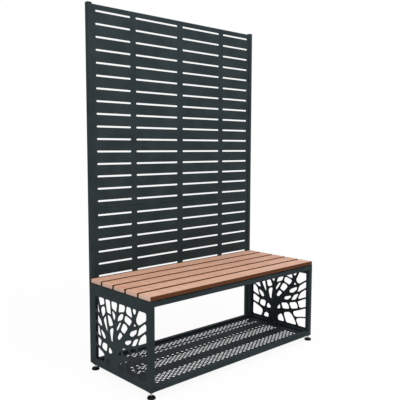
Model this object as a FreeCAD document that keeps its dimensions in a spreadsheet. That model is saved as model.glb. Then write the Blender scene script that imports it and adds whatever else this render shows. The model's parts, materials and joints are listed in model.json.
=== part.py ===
import FreeCAD
import Part
import math
import os
import re
import Sketcher

# Privacy screen with a slatted bench, free-standing, in millimetres.
# X runs along the bench, +Y from the front of the bench to the screen, +Z up.
# The origin is on the floor, under the middle of the whole object.

# Driving sizes: alias, value, what it is
SIZES = [
    # Bench frame
    ("benchWidth", 1200, "outside width of the bench frame"),
    ("benchDepth", 490, "outside depth of the bench frame"),
    ("frameHeight", 420, "height of the tube frame itself"),
    ("tubeSize", 25, "side of the bench's square tube"),
    ("tubeWall", 2, "wall of the bench's square tube"),
    ("tubeRound", 2, "rounding of its long edges"),
    ("footDrop", 30, "frame's height above the floor, feet screwed in"),
    # Seat
    ("slatCount", 5, "boards in the seat"),
    ("slatThickness", 21, "thickness of a board"),
    ("slatGap", 10, "gap between two boards"),
    ("slatRound", 5, "rounding of a board's edges"),
    ("bearerCount", 4, "flat bars under the boards"),
    ("bearerWidth", 40, "width of a flat bar"),
    ("bearerThickness", 3, "thickness of a flat bar"),
    ("endScrewGap", 3, "head of an end bar's screw to the side rail"),
    # Side sheets
    ("sideSheet", 3, "thickness of a laser-cut side sheet"),
    ("sideInset", 1, "side sheet behind the tubes' outer face"),
    ("windowSideBorder", 8.5, "cut-outs to the legs"),
    ("windowLowBorder", 10, "cut-outs to the lower rail"),
    ("windowTopBorder", 31, "cut-outs to the upper rail"),
    ("cellRound", 30, "largest rounding of a cut-out's corner"),
    ("cellEdgeRound", 9, "rounding where a cut-out meets the border"),
    # Shelf
    ("shelfSheet", 2, "thickness of the shelf sheet"),
    ("shelfDrop", 12, "shelf's face below the lower rails' top"),
    ("shelfFlange", 12.5, "height of the shelf's folded edge"),
    ("meshPitch", 33.3, "mesh openings along the shelf, middle to middle"),
    ("meshRow", 11.1, "mesh rows across the shelf, middle to middle"),
    ("meshStrand", 6, "width of a strand of the mesh"),
    ("meshColumns", 32, "openings in a full row"),
    ("fieldPitch", 152, "perforated fields, middle to middle"),
    ("endFieldRows", 7, "rows in the front and rear field"),
    ("midFieldRows", 8, "rows in the middle field"),
    ("ribCount", 3, "stiffening bars under the shelf"),
    ("ribThickness", 3, "thickness of a stiffening bar"),
    ("ribHeight", 6, "height of a stiffening bar"),
    ("ribPitch", 113, "stiffening bars, middle to middle"),
    ("ribSetBack", 34.5, "middle bar behind the shelf's middle"),
    ("ribEndGap", 20, "end of a stiffening bar to the folded edge"),
    # Screen
    ("postSize", 25, "side of a post's square tube"),
    ("postWall", 2, "wall of a post"),
    ("postRound", 2, "rounding of a post's long edges"),
    ("postInset", 4, "post's outer face inside the bench's"),
    ("panelRecess", 3.3, "screen sheet behind the posts' front face"),
    ("panelSheet", 1.5, "thickness of a screen sheet"),
    ("panelFlange", 18, "depth of a screen sheet with its folded edges"),
    ("panelLowEdge", 413.5, "lower sheet's bottom edge above the frame's foot"),
    ("slotHeight", 9, "height of a slot"),
    ("slotPitch", 62.83, "slot rows, middle to middle"),
    ("slotSideMargin", 21, "folded edge to the first slot"),
    ("outerSlot", 210, "length of a slot beside a post"),
    ("sideRib", 35, "sheet between an outer and an inner slot"),
    ("midRib", 40, "sheet between the two inner slots"),
    ("upperRows", 16, "slot rows in the upper sheet"),
    ("lowerRows", 6, "slot rows in the lower sheet"),
    ("jointMargin", 36, "slot row to the edge of a sheet at a joint"),
    ("headMargin", 31.3, "top slot row to the top edge"),
    ("foldRadius", 1, "inner radius of every fold in a sheet"),
    # Plastic plugs
    ("plugGap", 0.1, "plug or insert to the tube's inner wall"),
    ("capRise", 7, "cap above the post"),
    ("capStem", 15, "cap's stem inside the post"),
    ("capRound", 4, "rounding of a cap's top edges"),
    ("plugLength", 14, "plug in a post's foot"),
    ("insertLength", 22, "threaded insert in a leg's foot"),
    # Levelling feet
    ("padRadius", 20, "radius of a foot's pad"),
    ("padRim", 7, "height of the pad's straight rim"),
    ("padHeight", 11, "height of the pad"),
    ("padNeck", 16, "pad's radius at its top"),
    ("padFloor", 3, "pad's thickness under the stud"),
    ("studRadius", 4, "radius of the stud"),
    ("collarRadius", 5.5, "radius of the stud's captive collar"),
    ("collarHeight", 5, "height of the captive collar"),
    ("collarGap", 0.3, "collar to its pocket in the pad"),
    ("threadGap", 0.05, "stud to the thread of its insert"),
    ("hexFlats", 13, "stud's hexagon across the flats"),
    ("hexHeight", 6, "height of the stud's hexagon"),
    ("stopGap", 0.2, "hexagon to the insert, screwed right in"),
    ("footTravel", 15, "how far a foot screws out"),
    # Fasteners
    ("screwRadius", 2.5, "radius of the small screws"),
    ("screwHeadRadius", 4.75, "radius of their heads"),
    ("screwHead", 3, "height of their heads"),
    ("screwBite", 14, "length of a seat screw in its board"),
    ("pilotGap", 1, "end of a seat screw to the bottom of its hole"),
    ("screwGap", 0.15, "any screw or bolt to its hole"),
    ("boltRadius", 4, "radius of the bolts through the posts"),
    ("boltHeadRadius", 7, "radius of their heads"),
    ("boltHead", 4.4, "height of their heads"),
    ("boltTail", 2, "thread standing out of a nut"),
    ("nutFlats", 13, "nut of the leg bolts, across the flats"),
    ("nutHeight", 6.5, "height of the leg bolts' nuts"),
    ("boltLow", 100, "lower leg bolt above the frame's foot"),
    ("boltHigh", 320, "upper leg bolt above the frame's foot"),
    ("jointBoltRadius", 3, "radius of the bolts between the screen sheets"),
    ("jointBoltHeadRadius", 5.5, "radius of their heads"),
    ("jointBoltHead", 3.3, "height of their heads"),
    ("jointNutFlats", 10, "nut of these bolts, across the flats"),
    ("jointNutHeight", 5, "height of these nuts"),
    ("fixingMargin", 45, "screw row to the end of a sheet"),
    ("upperFixings", 4, "screws on each side of the upper sheet"),
    ("lowerFixings", 2, "screws on each side of the lower sheet"),
    ("jointBolts", 3, "bolts between the screen sheets"),
    ("shelfFixings", 3, "screws along each long edge of the shelf"),
    # Tools
    ("overrun", 5, "how far every cutting tool runs past the piece"),
]

# Places and sizes that follow from the driving ones
DERIVED = {
    "frontY": "((padRadius - tubeSize / 2 - benchDepth - postSize - boltHead) / 2)",
    "rearY": "(frontY + benchDepth)",
    "midY": "(frontY + benchDepth / 2)",
    "frameTop": "(footDrop + frameHeight)",
    "innerX": "(benchWidth / 2 - tubeSize)",
    "innerWidth": "(benchWidth - 2 * tubeSize)",
    "innerDepth": "(benchDepth - 2 * tubeSize)",
    "legX": "(benchWidth / 2 - tubeSize / 2)",
    "slatWidth": "((benchDepth - (slatCount - 1) * slatGap) / slatCount)",
    "bearerEndX": "(benchWidth / 2 - bearerWidth / 2)",
    "endScrewX": "(innerX - screwHeadRadius - endScrewGap)",
    "shelfScrewX": "(innerX - fixingMargin)",
    "boardLow": "(frameTop + bearerThickness)",
    "shelfTop": "(footDrop + tubeSize - shelfDrop)",
    "shelfUnder": "(shelfTop - shelfSheet)",
    "postX": "(benchWidth / 2 - postInset - postSize / 2)",
    "boltX": "((innerX + tubeWall + postX + postSize / 2 - postWall) / 2)",
    "panelHalf": "(benchWidth / 2 - postInset - postSize)",
    "panelY": "(rearY + panelRecess)",
    "flangeMidY": "(panelY + panelFlange / 2 + panelSheet / 2)",
    "lowerPanelHeight": "((lowerRows - 1) * slotPitch + 2 * jointMargin)",
    "upperPanelHeight": "((upperRows - 1) * slotPitch + jointMargin + headMargin)",
    "lowerPanelZ": "(footDrop + panelLowEdge)",
    "upperPanelZ": "(lowerPanelZ + lowerPanelHeight)",
    "postTop": "(upperPanelZ + upperPanelHeight)",
    "innerSlot": "(panelHalf - slotSideMargin - outerSlot - sideRib - midRib / 2)",
    "plugSide": "(postSize - 2 * postWall - 2 * plugGap)",
    "insertSide": "(tubeSize - 2 * tubeWall - 2 * plugGap)",
    "hexTop": "(footDrop - stopGap)",
    "studTop": "(footDrop + insertLength + footTravel)",
}

# Layout of the branches cut into the side sheets. Each point holds its share of the
# window's depth, its share of the window's height, and the branch's half width there as
# a share of the window's height.
BRANCH_SHARES = {
    "sill_front": (0, 0, 0), "sill_rear": (1, 0, 0), "head_front": (0, 1, 0), "head_rear": (1, 1, 0),
    "foot": (0.60, 0, 0.125), "knot": (0.595, 0.12, 0.092), "fork": (0.585, 0.26, 0.076),
    "front1": (0.50, 0.39, 0.052), "front2": (0.395, 0.53, 0.047), "front3": (0.30, 0.68, 0.036),
    "front4": (0.22, 0.83, 0.026), "front5": (0.15, 1, 0.019),
    "mid1": (0.60, 0.45, 0.047), "mid2": (0.585, 0.63, 0.037), "mid3": (0.55, 0.81, 0.029),
    "mid4": (0.52, 1, 0.020),
    "rear1": (0.705, 0.36, 0.052), "rear2": (0.79, 0.50, 0.041), "rear3": (0.855, 0.66, 0.031),
    "rear4": (0.905, 0.83, 0.023), "rear5": (0.94, 1, 0.016),
    "low1": (0.44, 0.20, 0.038), "low2": (0.28, 0.25, 0.027), "low3": (0.13, 0.31, 0.019),
    "low4": (0, 0.38, 0.014),
    "arm1": (0.335, 0.405, 0.026), "arm2": (0.18, 0.455, 0.020), "arm3": (0, 0.56, 0.014),
    "bough1": (0.24, 0.565, 0.024), "bough2": (0.115, 0.635, 0.018), "bough3": (0, 0.74, 0.013),
    "tip1": (0.145, 0.755, 0.018), "tip2": (0, 0.88, 0.013), "tip3": (0.27, 1, 0.014),
    "twig1": (0.505, 0.605, 0.022), "twig2": (0.43, 0.76, 0.019), "twig3": (0.37, 1, 0.013),
    "twig4": (0.395, 0.885, 0.015),
    "spray1": (0.65, 0.76, 0.022), "spray2": (0.675, 1, 0.014), "spray3": (0.665, 0.88, 0.016),
    "lift1": (0.725, 0.56, 0.026), "lift2": (0.765, 0.78, 0.020), "lift3": (0.80, 1, 0.013),
    "lift4": (0.785, 0.90, 0.016),
    "back1": (0.84, 0.345, 0.025), "back2": (1, 0.42, 0.016), "back3": (0.905, 0.55, 0.019),
    "back4": (1, 0.62, 0.013), "back5": (1, 0.80, 0.013),
    "heel1": (0.755, 0.14, 0.035), "heel2": (0.88, 0.20, 0.023), "heel3": (1, 0.25, 0.015),
    "sill1": (0.37, 0, 0.019), "sill2": (0.15, 0, 0.014), "sill3": (0.82, 0, 0.019),
    "web1": (0.45, 0.58, 0.015), "web2": (0.36, 0.735, 0.014), "web3": (0.505, 0.735, 0.014),
    "web4": (0.655, 0.61, 0.016), "web5": (0.705, 0.785, 0.013), "web6": (0.815, 0.72, 0.014),
    "web7": (0.74, 0.25, 0.018), "web8": (0.875, 0.275, 0.014), "web9": (0.885, 0.45, 0.013),
    "web10": (0.405, 0.10, 0.018), "web11": (0.21, 0.13, 0.014), "web12": (0.455, 0.295, 0.021),
    "web13": (0.30, 0.33, 0.015), "web14": (0.15, 0.39, 0.013), "web15": (0.27, 0.48, 0.017),
    "web16": (0.145, 0.56, 0.013), "web17": (0.165, 0.655, 0.015), "web18": (0.305, 0.855, 0.013),
    "web19": (0.47, 0.875, 0.013), "web20": (0.605, 0.86, 0.013), "web21": (0.845, 0.885, 0.013),
    "web22": (0.10, 0.165, 0.012), "low5": (0, 0.19, 0.011),
}

# The cut-outs between the branches, each by the points round it, anticlockwise
CELLS = [
    ("sill1", "foot", "knot", "low1", "web10"),
    ("sill2", "sill1", "web10", "low1", "low2", "web11"),
    ("sill_front", "sill2", "web11", "web22", "low5"),
    ("low5", "web22", "web11", "low2", "low3", "low4"),
    ("low1", "knot", "fork", "front1", "web12"),
    ("low2", "low1", "web12", "front1", "arm1", "web13"),
    ("low3", "low2", "web13", "arm1", "arm2", "web14"),
    ("low4", "low3", "web14", "arm2", "arm3"),
    ("arm1", "front1", "front2", "bough1", "web15"),
    ("arm2", "arm1", "web15", "bough1", "bough2", "web16"),
    ("arm3", "arm2", "web16", "bough2", "bough3"),
    ("bough1", "front2", "front3", "tip1", "web17"),
    ("bough3", "bough2", "bough1", "web17", "tip1", "tip2"),
    ("tip1", "front3", "front4"),
    ("tip2", "tip1", "front4", "front5", "head_front"),
    ("front4", "web18", "twig4", "twig3", "tip3"),
    ("front4", "tip3", "front5"),
    ("front3", "web2", "twig2", "twig4", "web18", "front4"),
    ("front1", "mid1", "twig1", "web1", "front2"),
    ("front2", "web1", "twig1", "twig2", "web2", "front3"),
    ("twig1", "mid1", "mid2", "web3", "twig2"),
    ("twig2", "web3", "mid2", "mid3", "web19", "twig4"),
    ("twig4", "web19", "mid3", "mid4", "twig3"),
    ("mid2", "spray1", "spray3", "web20", "mid3"),
    ("mid3", "web20", "spray3", "spray2", "mid4"),
    ("fork", "rear1", "lift1", "web4", "mid2", "mid1"),
    ("mid2", "web4", "lift1", "lift2", "web5", "spray1"),
    ("spray1", "web5", "lift2", "lift3", "spray2"),
    ("rear1", "rear2", "rear3", "web6", "lift2", "lift1"),
    ("lift2", "web6", "rear3", "rear4", "web21", "lift4"),
    ("lift4", "web21", "rear4", "rear5", "lift3"),
    ("foot", "sill3", "heel1", "knot"),
    ("sill3", "sill_rear", "heel3", "heel2", "heel1"),
    ("knot", "heel1", "web7", "rear1", "fork"),
    ("heel1", "heel2", "web8", "back1", "rear1", "web7"),
    ("heel2", "heel3", "back2", "back1", "web8"),
    ("rear1", "back1", "web9", "back3", "rear2"),
    ("back1", "back2", "back4", "back3", "web9"),
    ("rear2", "back3", "back4", "back5", "rear3"),
    ("rear3", "back5", "head_rear", "rear5", "rear4"),
]

# Most of an edge that one rounded corner may take
CORNER_SHARE = 0.47

SIDES = (("left", -1), ("right", 1))
ENDS = (("front", 0), ("rear", 1))

BOX_LENGTHS = ("Length", "Width", "Height")

UP = FreeCAD.Vector(0, 0, 1)
TURNS = {
    "X": FreeCAD.Rotation(FreeCAD.Vector(0, 1, 0), 90),
    "Y": FreeCAD.Rotation(FreeCAD.Vector(1, 0, 0), -90),
    "Z": FreeCAD.Rotation(),
}

doc = FreeCAD.newDocument("PrivacyScreenWithBench")
sheet = doc.addObject("Spreadsheet::Sheet", "Sizes")
for row, (alias, number, note) in enumerate(SIZES, start=1):
    sheet.set(f"A{row}", note)
    sheet.set(f"B{row}", str(number))
    sheet.setAlias(f"B{row}", alias)
doc.recompute()

parts = {}


def size(alias):
    """A driving size as a number."""
    return float(sheet.get(alias))


def count(alias):
    """A driving number of pieces."""
    return int(sheet.get(alias))


def spell(text):
    """Write derived names out, and point each driving name at the sheet."""
    text = str(text)
    while any(re.search(rf"\b{name}\b", text) for name in DERIVED):
        for name, formula in DERIVED.items():
            text = re.sub(rf"\b{name}\b", formula, text)
    return re.sub(r"\b([a-z][A-Za-z]+)\b(?!\()", r"Sizes.\1", text)


def bind(thing, prop, text):
    """Tie one property of an object to the sheet."""
    thing.setExpression(prop, spell(text))


def place(thing, corner):
    """Tie the object's place to the sheet."""
    for axis, text in zip("xyz", corner):
        bind(thing, f"Placement.Base.{axis}", text)
    return thing


def box(name, lengths, corner):
    """A block by its three lengths and its lowest corner."""
    block = doc.addObject("Part::Box", name)
    for prop, text in zip(BOX_LENGTHS, lengths):
        bind(block, prop, text)
    return place(block, corner)


def rod(name, radius, length, start, axis="Z"):
    """A round bar from the middle of its first end along an axis."""
    bar = doc.addObject("Part::Cylinder", name)
    bar.Placement.Rotation = TURNS[axis]
    bind(bar, "Radius", radius)
    bind(bar, "Height", length)
    return place(bar, start)


def hexagon(name, flats, height, start, axis="Z"):
    """A hexagonal bar from the middle of its first end along an axis."""
    bar = doc.addObject("Part::Prism", name)
    bar.Polygon = 6
    bar.Placement.Rotation = TURNS[axis]
    bind(bar, "Circumradius", f"({flats}) / sqrt(3)")
    bind(bar, "Height", height)
    return place(bar, start)


def together(name, pieces):
    """Several pieces as one group of separate solids."""
    bundle = doc.addObject("Part::Compound", name)
    bundle.Links = pieces
    return bundle


def fuse(name, pieces):
    """Several touching pieces as one solid."""
    joined = doc.addObject("Part::MultiFuse", name)
    joined.Shapes = pieces
    return joined


def cut(name, base, tools):
    """A piece with its holes taken out."""
    result = doc.addObject("Part::Cut", name)
    result.Base = base
    result.Tool = tools[0] if len(tools) == 1 else together(f"{name}_tools", tools)
    return result


def keep(label, thing):
    """Register one finished sub-part under its label."""
    thing.Label = label
    parts[label] = thing
    return thing


def tube(name, lengths, corner, along, wall, rounding):
    """A square tube with rounded long edges and a square bore that runs out of both ends."""
    body = doc.addObject("PartDesign::Body", f"{name}_tube")
    block = body.newObject("PartDesign::AdditiveBox", f"{name}_block")
    for prop, text in zip(BOX_LENGTHS, lengths):
        bind(block, prop, text)
    doc.recompute()
    edges = body.newObject("PartDesign::Fillet", f"{name}_edges")
    edges.Base = (block, long_edges(block.Shape, "XYZ".index(along)))
    bind(edges, "Radius", rounding)
    bore = body.newObject("PartDesign::SubtractiveBox", f"{name}_bore")
    for axis, prop, text in zip("XYZ", BOX_LENGTHS, lengths):
        inside = f"{text} + 2 * overrun" if axis == along else f"{text} - 2 * {wall}"
        bind(bore, prop, inside)
        bind(bore, f"Placement.Base.{axis.lower()}", "-overrun" if axis == along else wall)
    doc.recompute()
    expect_less(bore, edges)
    return place(body, corner)


def long_edges(shape, axis):
    """Names of a block's four edges that run along one axis."""
    return [f"Edge{i + 1}" for i, edge in enumerate(shape.Edges)
            if abs((edge.Vertexes[1].Point - edge.Vertexes[0].Point)[axis]) > edge.Length / 2]


def spread(index, number):
    """Share of the way along a row, from 0 to 1, for one of its evenly spaced members."""
    return f"{index} / {number - 1}"


def leg_y(rear):
    """Front face of a front or rear leg."""
    return f"frontY + {rear} * (benchDepth - tubeSize)"


def bolt_places():
    """Side name, side sign and height of each bolt between a rear leg and its post."""
    return [(f"{side}_{level}", sign, f"footDrop + {level}")
            for side, sign in SIDES for level in ("boltLow", "boltHigh")]


def fixing_heights(low, height, number):
    """Heights of the evenly spaced screws along one side of a screen sheet."""
    return [f"{low} + fixingMargin + ({height} - 2 * fixingMargin) * {spread(i, number)}"
            for i in range(number)]


def make_legs():
    """Four upright tubes. The rear ones are drilled behind for the bolts that hold the posts."""
    for side, sign in SIDES:
        for end, rear in ENDS:
            name = f"leg_{end}_{side}"
            corner = (f"{sign} * legX - tubeSize / 2", leg_y(rear), "footDrop")
            lengths = ("tubeSize", "tubeSize", "frameHeight")
            leg = tube(name, lengths, corner, "Z", "tubeWall", "tubeRound")
            if rear:
                start = "rearY - tubeWall - overrun"
                holes = [rod(f"{name}_hole_{where}", "boltRadius + screwGap", "tubeWall + 2 * overrun",
                             (f"{sign} * boltX", start, height), "Y")
                         for where, where_sign, height in bolt_places() if where_sign == sign]
                leg = cut(name, leg, holes)
            keep(name, leg)


def make_rails():
    """Upper and lower tubes between the legs, on all four sides."""
    for level, height in (("bottom", "footDrop"), ("top", "frameTop - tubeSize")):
        for end, rear in ENDS:
            name = f"rail_{level}_{end}"
            corner = ("-innerX", leg_y(rear), height)
            lengths = ("innerWidth", "tubeSize", "tubeSize")
            rail = tube(name, lengths, corner, "X", "tubeWall", "tubeRound")
            if level == "bottom":
                inner_face = f"{leg_y(rear)} + {1 - rear} * tubeSize"
                holes = [rod(f"{name}_hole_{i}", "screwRadius + screwGap", "2 * tubeWall",
                             (x, f"{inner_face} - tubeWall", shelf_screw_height()), "Y")
                         for i, x in enumerate(shelf_screw_places())]
                rail = cut(name, rail, holes)
            keep(name, rail)
        for side, sign in SIDES:
            name = f"rail_{level}_{side}"
            corner = (f"{sign} * legX - tubeSize / 2", "frontY + tubeSize", height)
            lengths = ("tubeSize", "innerDepth", "tubeSize")
            keep(name, tube(name, lengths, corner, "Y", "tubeWall", "tubeRound"))


def bearer_places():
    """Middles of the flat bars under the boards, along X."""
    number = count("bearerCount")
    return [f"bearerEndX * (2 * {spread(i, number)} - 1)" for i in range(number)]


def seat_screw_places():
    """Middles of the seat screws along X. At the end bars they stand clear of the side rails."""
    return ["-endScrewX"] + bearer_places()[1:-1] + ["endScrewX"]


def slat_front(index):
    """Front edge of one board."""
    return f"frontY + {index} * (slatWidth + slatGap)"


def make_seat():
    """Boards on flat bars that lie on the frame, each board screwed to each bar from below."""
    boards, screw_places = range(count("slatCount")), seat_screw_places()
    middles = [f"{slat_front(i)} + slatWidth / 2" for i in boards]
    for number, (x, screw_x) in enumerate(zip(bearer_places(), screw_places), start=1):
        name = f"seat_bearer_{number}"
        bar = box(f"{name}_bar", ("bearerWidth", "benchDepth", "bearerThickness"),
                  (f"{x} - bearerWidth / 2", "frontY", "frameTop"))
        holes = [rod(f"{name}_hole_{i}", "screwRadius + screwGap", "bearerThickness + 2 * overrun",
                     (screw_x, y, "frameTop - overrun")) for i, y in enumerate(middles)]
        keep(name, cut(name, bar, holes))
    for number, i in enumerate(boards, start=1):
        keep(f"seat_slat_{number}", make_slat(f"seat_slat_{number}", i, screw_places))
    screws = [seat_screw(f"seat_screw_{i}_{j}", x, y)
              for i, x in enumerate(screw_places) for j, y in enumerate(middles)]
    keep("seat_screws", together("seat_screws", screws))


def seat_screw(name, x, y):
    """One screw from under a flat bar up into a board."""
    head = rod(f"{name}_head", "screwHeadRadius", "screwHead", (x, y, "frameTop - screwHead"))
    shank = rod(f"{name}_shank", "screwRadius", "bearerThickness + screwBite", (x, y, "frameTop"))
    return fuse(name, [head, shank])


def make_slat(name, index, screw_places):
    """A board with rounded edges and blind pilot holes in its underside."""
    body = doc.addObject("PartDesign::Body", name)
    board = body.newObject("PartDesign::AdditiveBox", f"{name}_board")
    for prop, text in zip(BOX_LENGTHS, ("benchWidth", "slatWidth", "slatThickness")):
        bind(board, prop, text)
    doc.recompute()
    edges = body.newObject("PartDesign::Fillet", f"{name}_edges")
    edges.Base = (board, [f"Edge{i + 1}" for i in range(len(board.Shape.Edges))])
    bind(edges, "Radius", "slatRound")
    sketch = body.newObject("Sketcher::SketchObject", f"{name}_pilots")
    sketch.AttachmentSupport = [(origin_plane(body, "XY_Plane"), "")]
    sketch.MapMode = "FlatFace"
    for i, x in enumerate(screw_places):
        add_circle(sketch, i, f"benchWidth / 2 + {x}", "slatWidth / 2", "screwRadius + screwGap")
    doc.recompute()
    pilots = body.newObject("PartDesign::Pocket", f"{name}_pilot_holes")
    pilots.Profile = sketch
    pilots.Reversed = True
    bind(pilots, "Length", "screwBite + pilotGap")
    doc.recompute()
    expect_less(pilots, edges)
    place(body, ("-benchWidth / 2", slat_front(index), "boardLow"))
    return body


def origin_plane(body, role):
    """One of a body's own origin planes."""
    return next(feature for feature in body.Origin.OriginFeatures if feature.Role == role)


def expect_less(after, before):
    """Stop if a cut removed nothing."""
    if not after.Shape.Volume < before.Shape.Volume:
        raise RuntimeError(f"{after.Label} cuts nothing")


def edges_at(shape, axis, level, reach):
    """Names of a shape's edges whose two ends lie at one level, to within the reach."""
    return [f"Edge{i + 1}" for i, edge in enumerate(shape.Edges)
            if all(abs(vertex.Point[axis] - level) < reach for vertex in edge.Vertexes)]


def folded_tray(name, lengths, axis, wall, opens):
    """A tray bent from one sheet: a face, and edges turned away from it all round.

    The tray opens towards the low or the high end of the axis, given as 0 or 1. Each fold
    is rounded outside and inside.
    """
    body = doc.addObject("PartDesign::Body", f"{name}_tray")
    block = body.newObject("PartDesign::AdditiveBox", f"{name}_block")
    for prop, text in zip(BOX_LENGTHS, lengths):
        bind(block, prop, text)
    doc.recompute()
    number, thickness = "XYZ".index(axis), size(wall)
    box = block.Shape.BoundBox
    low, high = (box.XMin, box.YMin, box.ZMin)[number], (box.XMax, box.YMax, box.ZMax)[number]
    face, inner_face = (low, low + thickness) if opens else (high, high - thickness)
    outside = body.newObject("PartDesign::Fillet", f"{name}_folds_outside")
    outside.Base = (block, edges_at(block.Shape, number, face, thickness / 4))
    bind(outside, "Radius", f"foldRadius + {wall}")
    hollow = body.newObject("PartDesign::SubtractiveBox", f"{name}_hollow")
    for name_of_axis, prop, text in zip("XYZ", BOX_LENGTHS, lengths):
        along = name_of_axis == axis
        bind(hollow, prop, f"{text} - {wall} + overrun" if along else f"{text} - 2 * {wall}")
        bind(hollow, f"Placement.Base.{name_of_axis.lower()}", "-overrun" if along and not opens else wall)
    doc.recompute()
    expect_less(hollow, outside)
    inside = body.newObject("PartDesign::Fillet", f"{name}_folds_inside")
    inside.Base = (hollow, edges_at(hollow.Shape, number, inner_face, thickness / 4))
    bind(inside, "Radius", "foldRadius")
    doc.recompute()
    return body, inside


def add_circle(sketch, index, x, y, radius):
    """A circle in a sketch, its middle and radius tied to the sheet."""
    ring = sketch.addGeometry(Part.Circle(FreeCAD.Vector(index + 1, 1, 0), UP, 1))
    rules = (
        (f"x{index}", ("DistanceX", -1, 1, ring, 3, index + 1), x),
        (f"y{index}", ("DistanceY", -1, 1, ring, 3, 1), y),
        (f"radius{index}", ("Radius", ring, 1), radius),
    )
    for name, rule, text in rules:
        sketch.renameConstraint(sketch.addConstraint(Sketcher.Constraint(*rule)), name)
        bind(sketch, f"Constraints.{name}", text)


def add_slot(sketch, index, start, end, height, radius):
    """A slot with round ends in a sketch, by the middles of its two ends."""
    near, far = 4 * index + 2, 4 * index + 4
    left = sketch.addGeometry(
        Part.ArcOfCircle(Part.Circle(FreeCAD.Vector(near, 1, 0), UP, 0.5), math.pi / 2, 3 * math.pi / 2))
    right = sketch.addGeometry(
        Part.ArcOfCircle(Part.Circle(FreeCAD.Vector(far, 1, 0), UP, 0.5), -math.pi / 2, math.pi / 2))
    top = sketch.addGeometry(Part.LineSegment(FreeCAD.Vector(near, 1.5, 0), FreeCAD.Vector(far, 1.5, 0)))
    low = sketch.addGeometry(Part.LineSegment(FreeCAD.Vector(near, 0.5, 0), FreeCAD.Vector(far, 0.5, 0)))
    for rule in (("Tangent", left, 1, top, 1), ("Tangent", left, 2, low, 1),
                 ("Tangent", right, 2, top, 2), ("Tangent", right, 1, low, 2), ("Equal", left, right)):
        sketch.addConstraint(Sketcher.Constraint(*rule))
    rules = (
        (f"start{index}", ("DistanceX", -1, 1, left, 3, near), start),
        (f"end{index}", ("DistanceX", -1, 1, right, 3, far), end),
        (f"low{index}", ("DistanceY", -1, 1, left, 3, 1), height),
        (f"high{index}", ("DistanceY", -1, 1, right, 3, 1), height),
        (f"round{index}", ("Radius", left, 0.5), radius),
    )
    for name, rule, text in rules:
        sketch.renameConstraint(sketch.addConstraint(Sketcher.Constraint(*rule)), name)
        bind(sketch, f"Constraints.{name}", text)


def make_screen_sheet(name, low, height, rows):
    """A folded tray: face sheet with rows of slots, and edges turned back all round."""
    lengths = ("2 * panelHalf", "panelFlange", height)
    body, tray = folded_tray(name, lengths, "Y", "panelSheet", 1)
    sketch = body.newObject("Sketcher::SketchObject", f"{name}_slots")
    sketch.AttachmentSupport = [(origin_plane(body, "XZ_Plane"), "")]
    sketch.MapMode = "FlatFace"
    start = "slotSideMargin"
    for index, (length, gap) in enumerate((("outerSlot", "sideRib"), ("innerSlot", "midRib"),
                                           ("innerSlot", "sideRib"), ("outerSlot", "0"))):
        add_slot(sketch, index, f"{start} + slotHeight / 2", f"{start} + {length} - slotHeight / 2",
                 "jointMargin", "slotHeight / 2")
        start = f"{start} + {length} + {gap}"
    doc.recompute()
    first_row = body.newObject("PartDesign::Pocket", f"{name}_first_row")
    first_row.Profile = sketch
    bind(first_row, "Length", "panelSheet + overrun")
    doc.recompute()
    expect_less(first_row, tray)
    pattern = body.newObject("PartDesign::LinearPattern", f"{name}_rows")
    pattern.Originals = [first_row]
    pattern.Direction = (sketch, ["V_Axis"])
    bind(pattern, "Length", f"({rows} - 1) * slotPitch")
    bind(pattern, "Occurrences", rows)
    body.Tip = pattern
    doc.recompute()
    expect_less(pattern, first_row)
    return place(body, ("-panelHalf", "panelY", low))


def joint_bolt_places():
    """Middles of the bolts between the two screen sheets, along X."""
    number = count("jointBolts")
    return [f"(panelHalf - slotSideMargin - outerSlot / 2) * (2 * {spread(i, number)} - 1)"
            for i in range(number)]


def make_screen():
    """Two posts, two slotted sheets between them, and what fixes them."""
    sheets = (
        ("screen_panel_lower", "lowerPanelZ", "lowerPanelHeight", "lowerRows", count("lowerFixings")),
        ("screen_panel_upper", "upperPanelZ", "upperPanelHeight", "upperRows", count("upperFixings")),
    )
    heights = []
    for name, low, height, rows, fixings in sheets:
        tray = make_screen_sheet(name, low, height, rows)
        own = fixing_heights(low, height, fixings)
        heights += own
        holes = [rod(f"{name}_hole_{side}_{i}", "screwRadius + screwGap", "2 * panelSheet + 2 * overrun",
                     (f"{sign} * panelHalf - panelSheet - overrun", "flangeMidY", z), "X")
                 for side, sign in SIDES for i, z in enumerate(own)]
        holes += [rod(f"{name}_joint_{i}", "jointBoltRadius + screwGap", "2 * panelSheet + 2 * overrun",
                      (x, "flangeMidY", "upperPanelZ - panelSheet - overrun"))
                  for i, x in enumerate(joint_bolt_places())]
        keep(name, cut(name, tray, holes))
    for side, sign in SIDES:
        make_post(side, sign, heights)
        screws = [panel_screw(f"panel_screw_{side}_{i}", sign, z) for i, z in enumerate(heights)]
        keep(f"panel_screws_{side}", together(f"panel_screws_{side}", screws))
    bolts = [joint_bolt(f"joint_bolt_{i}", x) for i, x in enumerate(joint_bolt_places())]
    keep("panel_joint_bolts", together("panel_joint_bolts", bolts))
    nuts = [joint_nut(f"joint_nut_{i}", x) for i, x in enumerate(joint_bolt_places())]
    keep("panel_joint_nuts", together("panel_joint_nuts", nuts))
    leg_bolts = [leg_bolt(f"leg_bolt_{where}", sign, z) for where, sign, z in bolt_places()]
    keep("post_bolts", together("post_bolts", leg_bolts))
    leg_nuts = [leg_nut(f"leg_nut_{where}", sign, z) for where, sign, z in bolt_places()]
    keep("post_nuts", together("post_nuts", leg_nuts))


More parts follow.
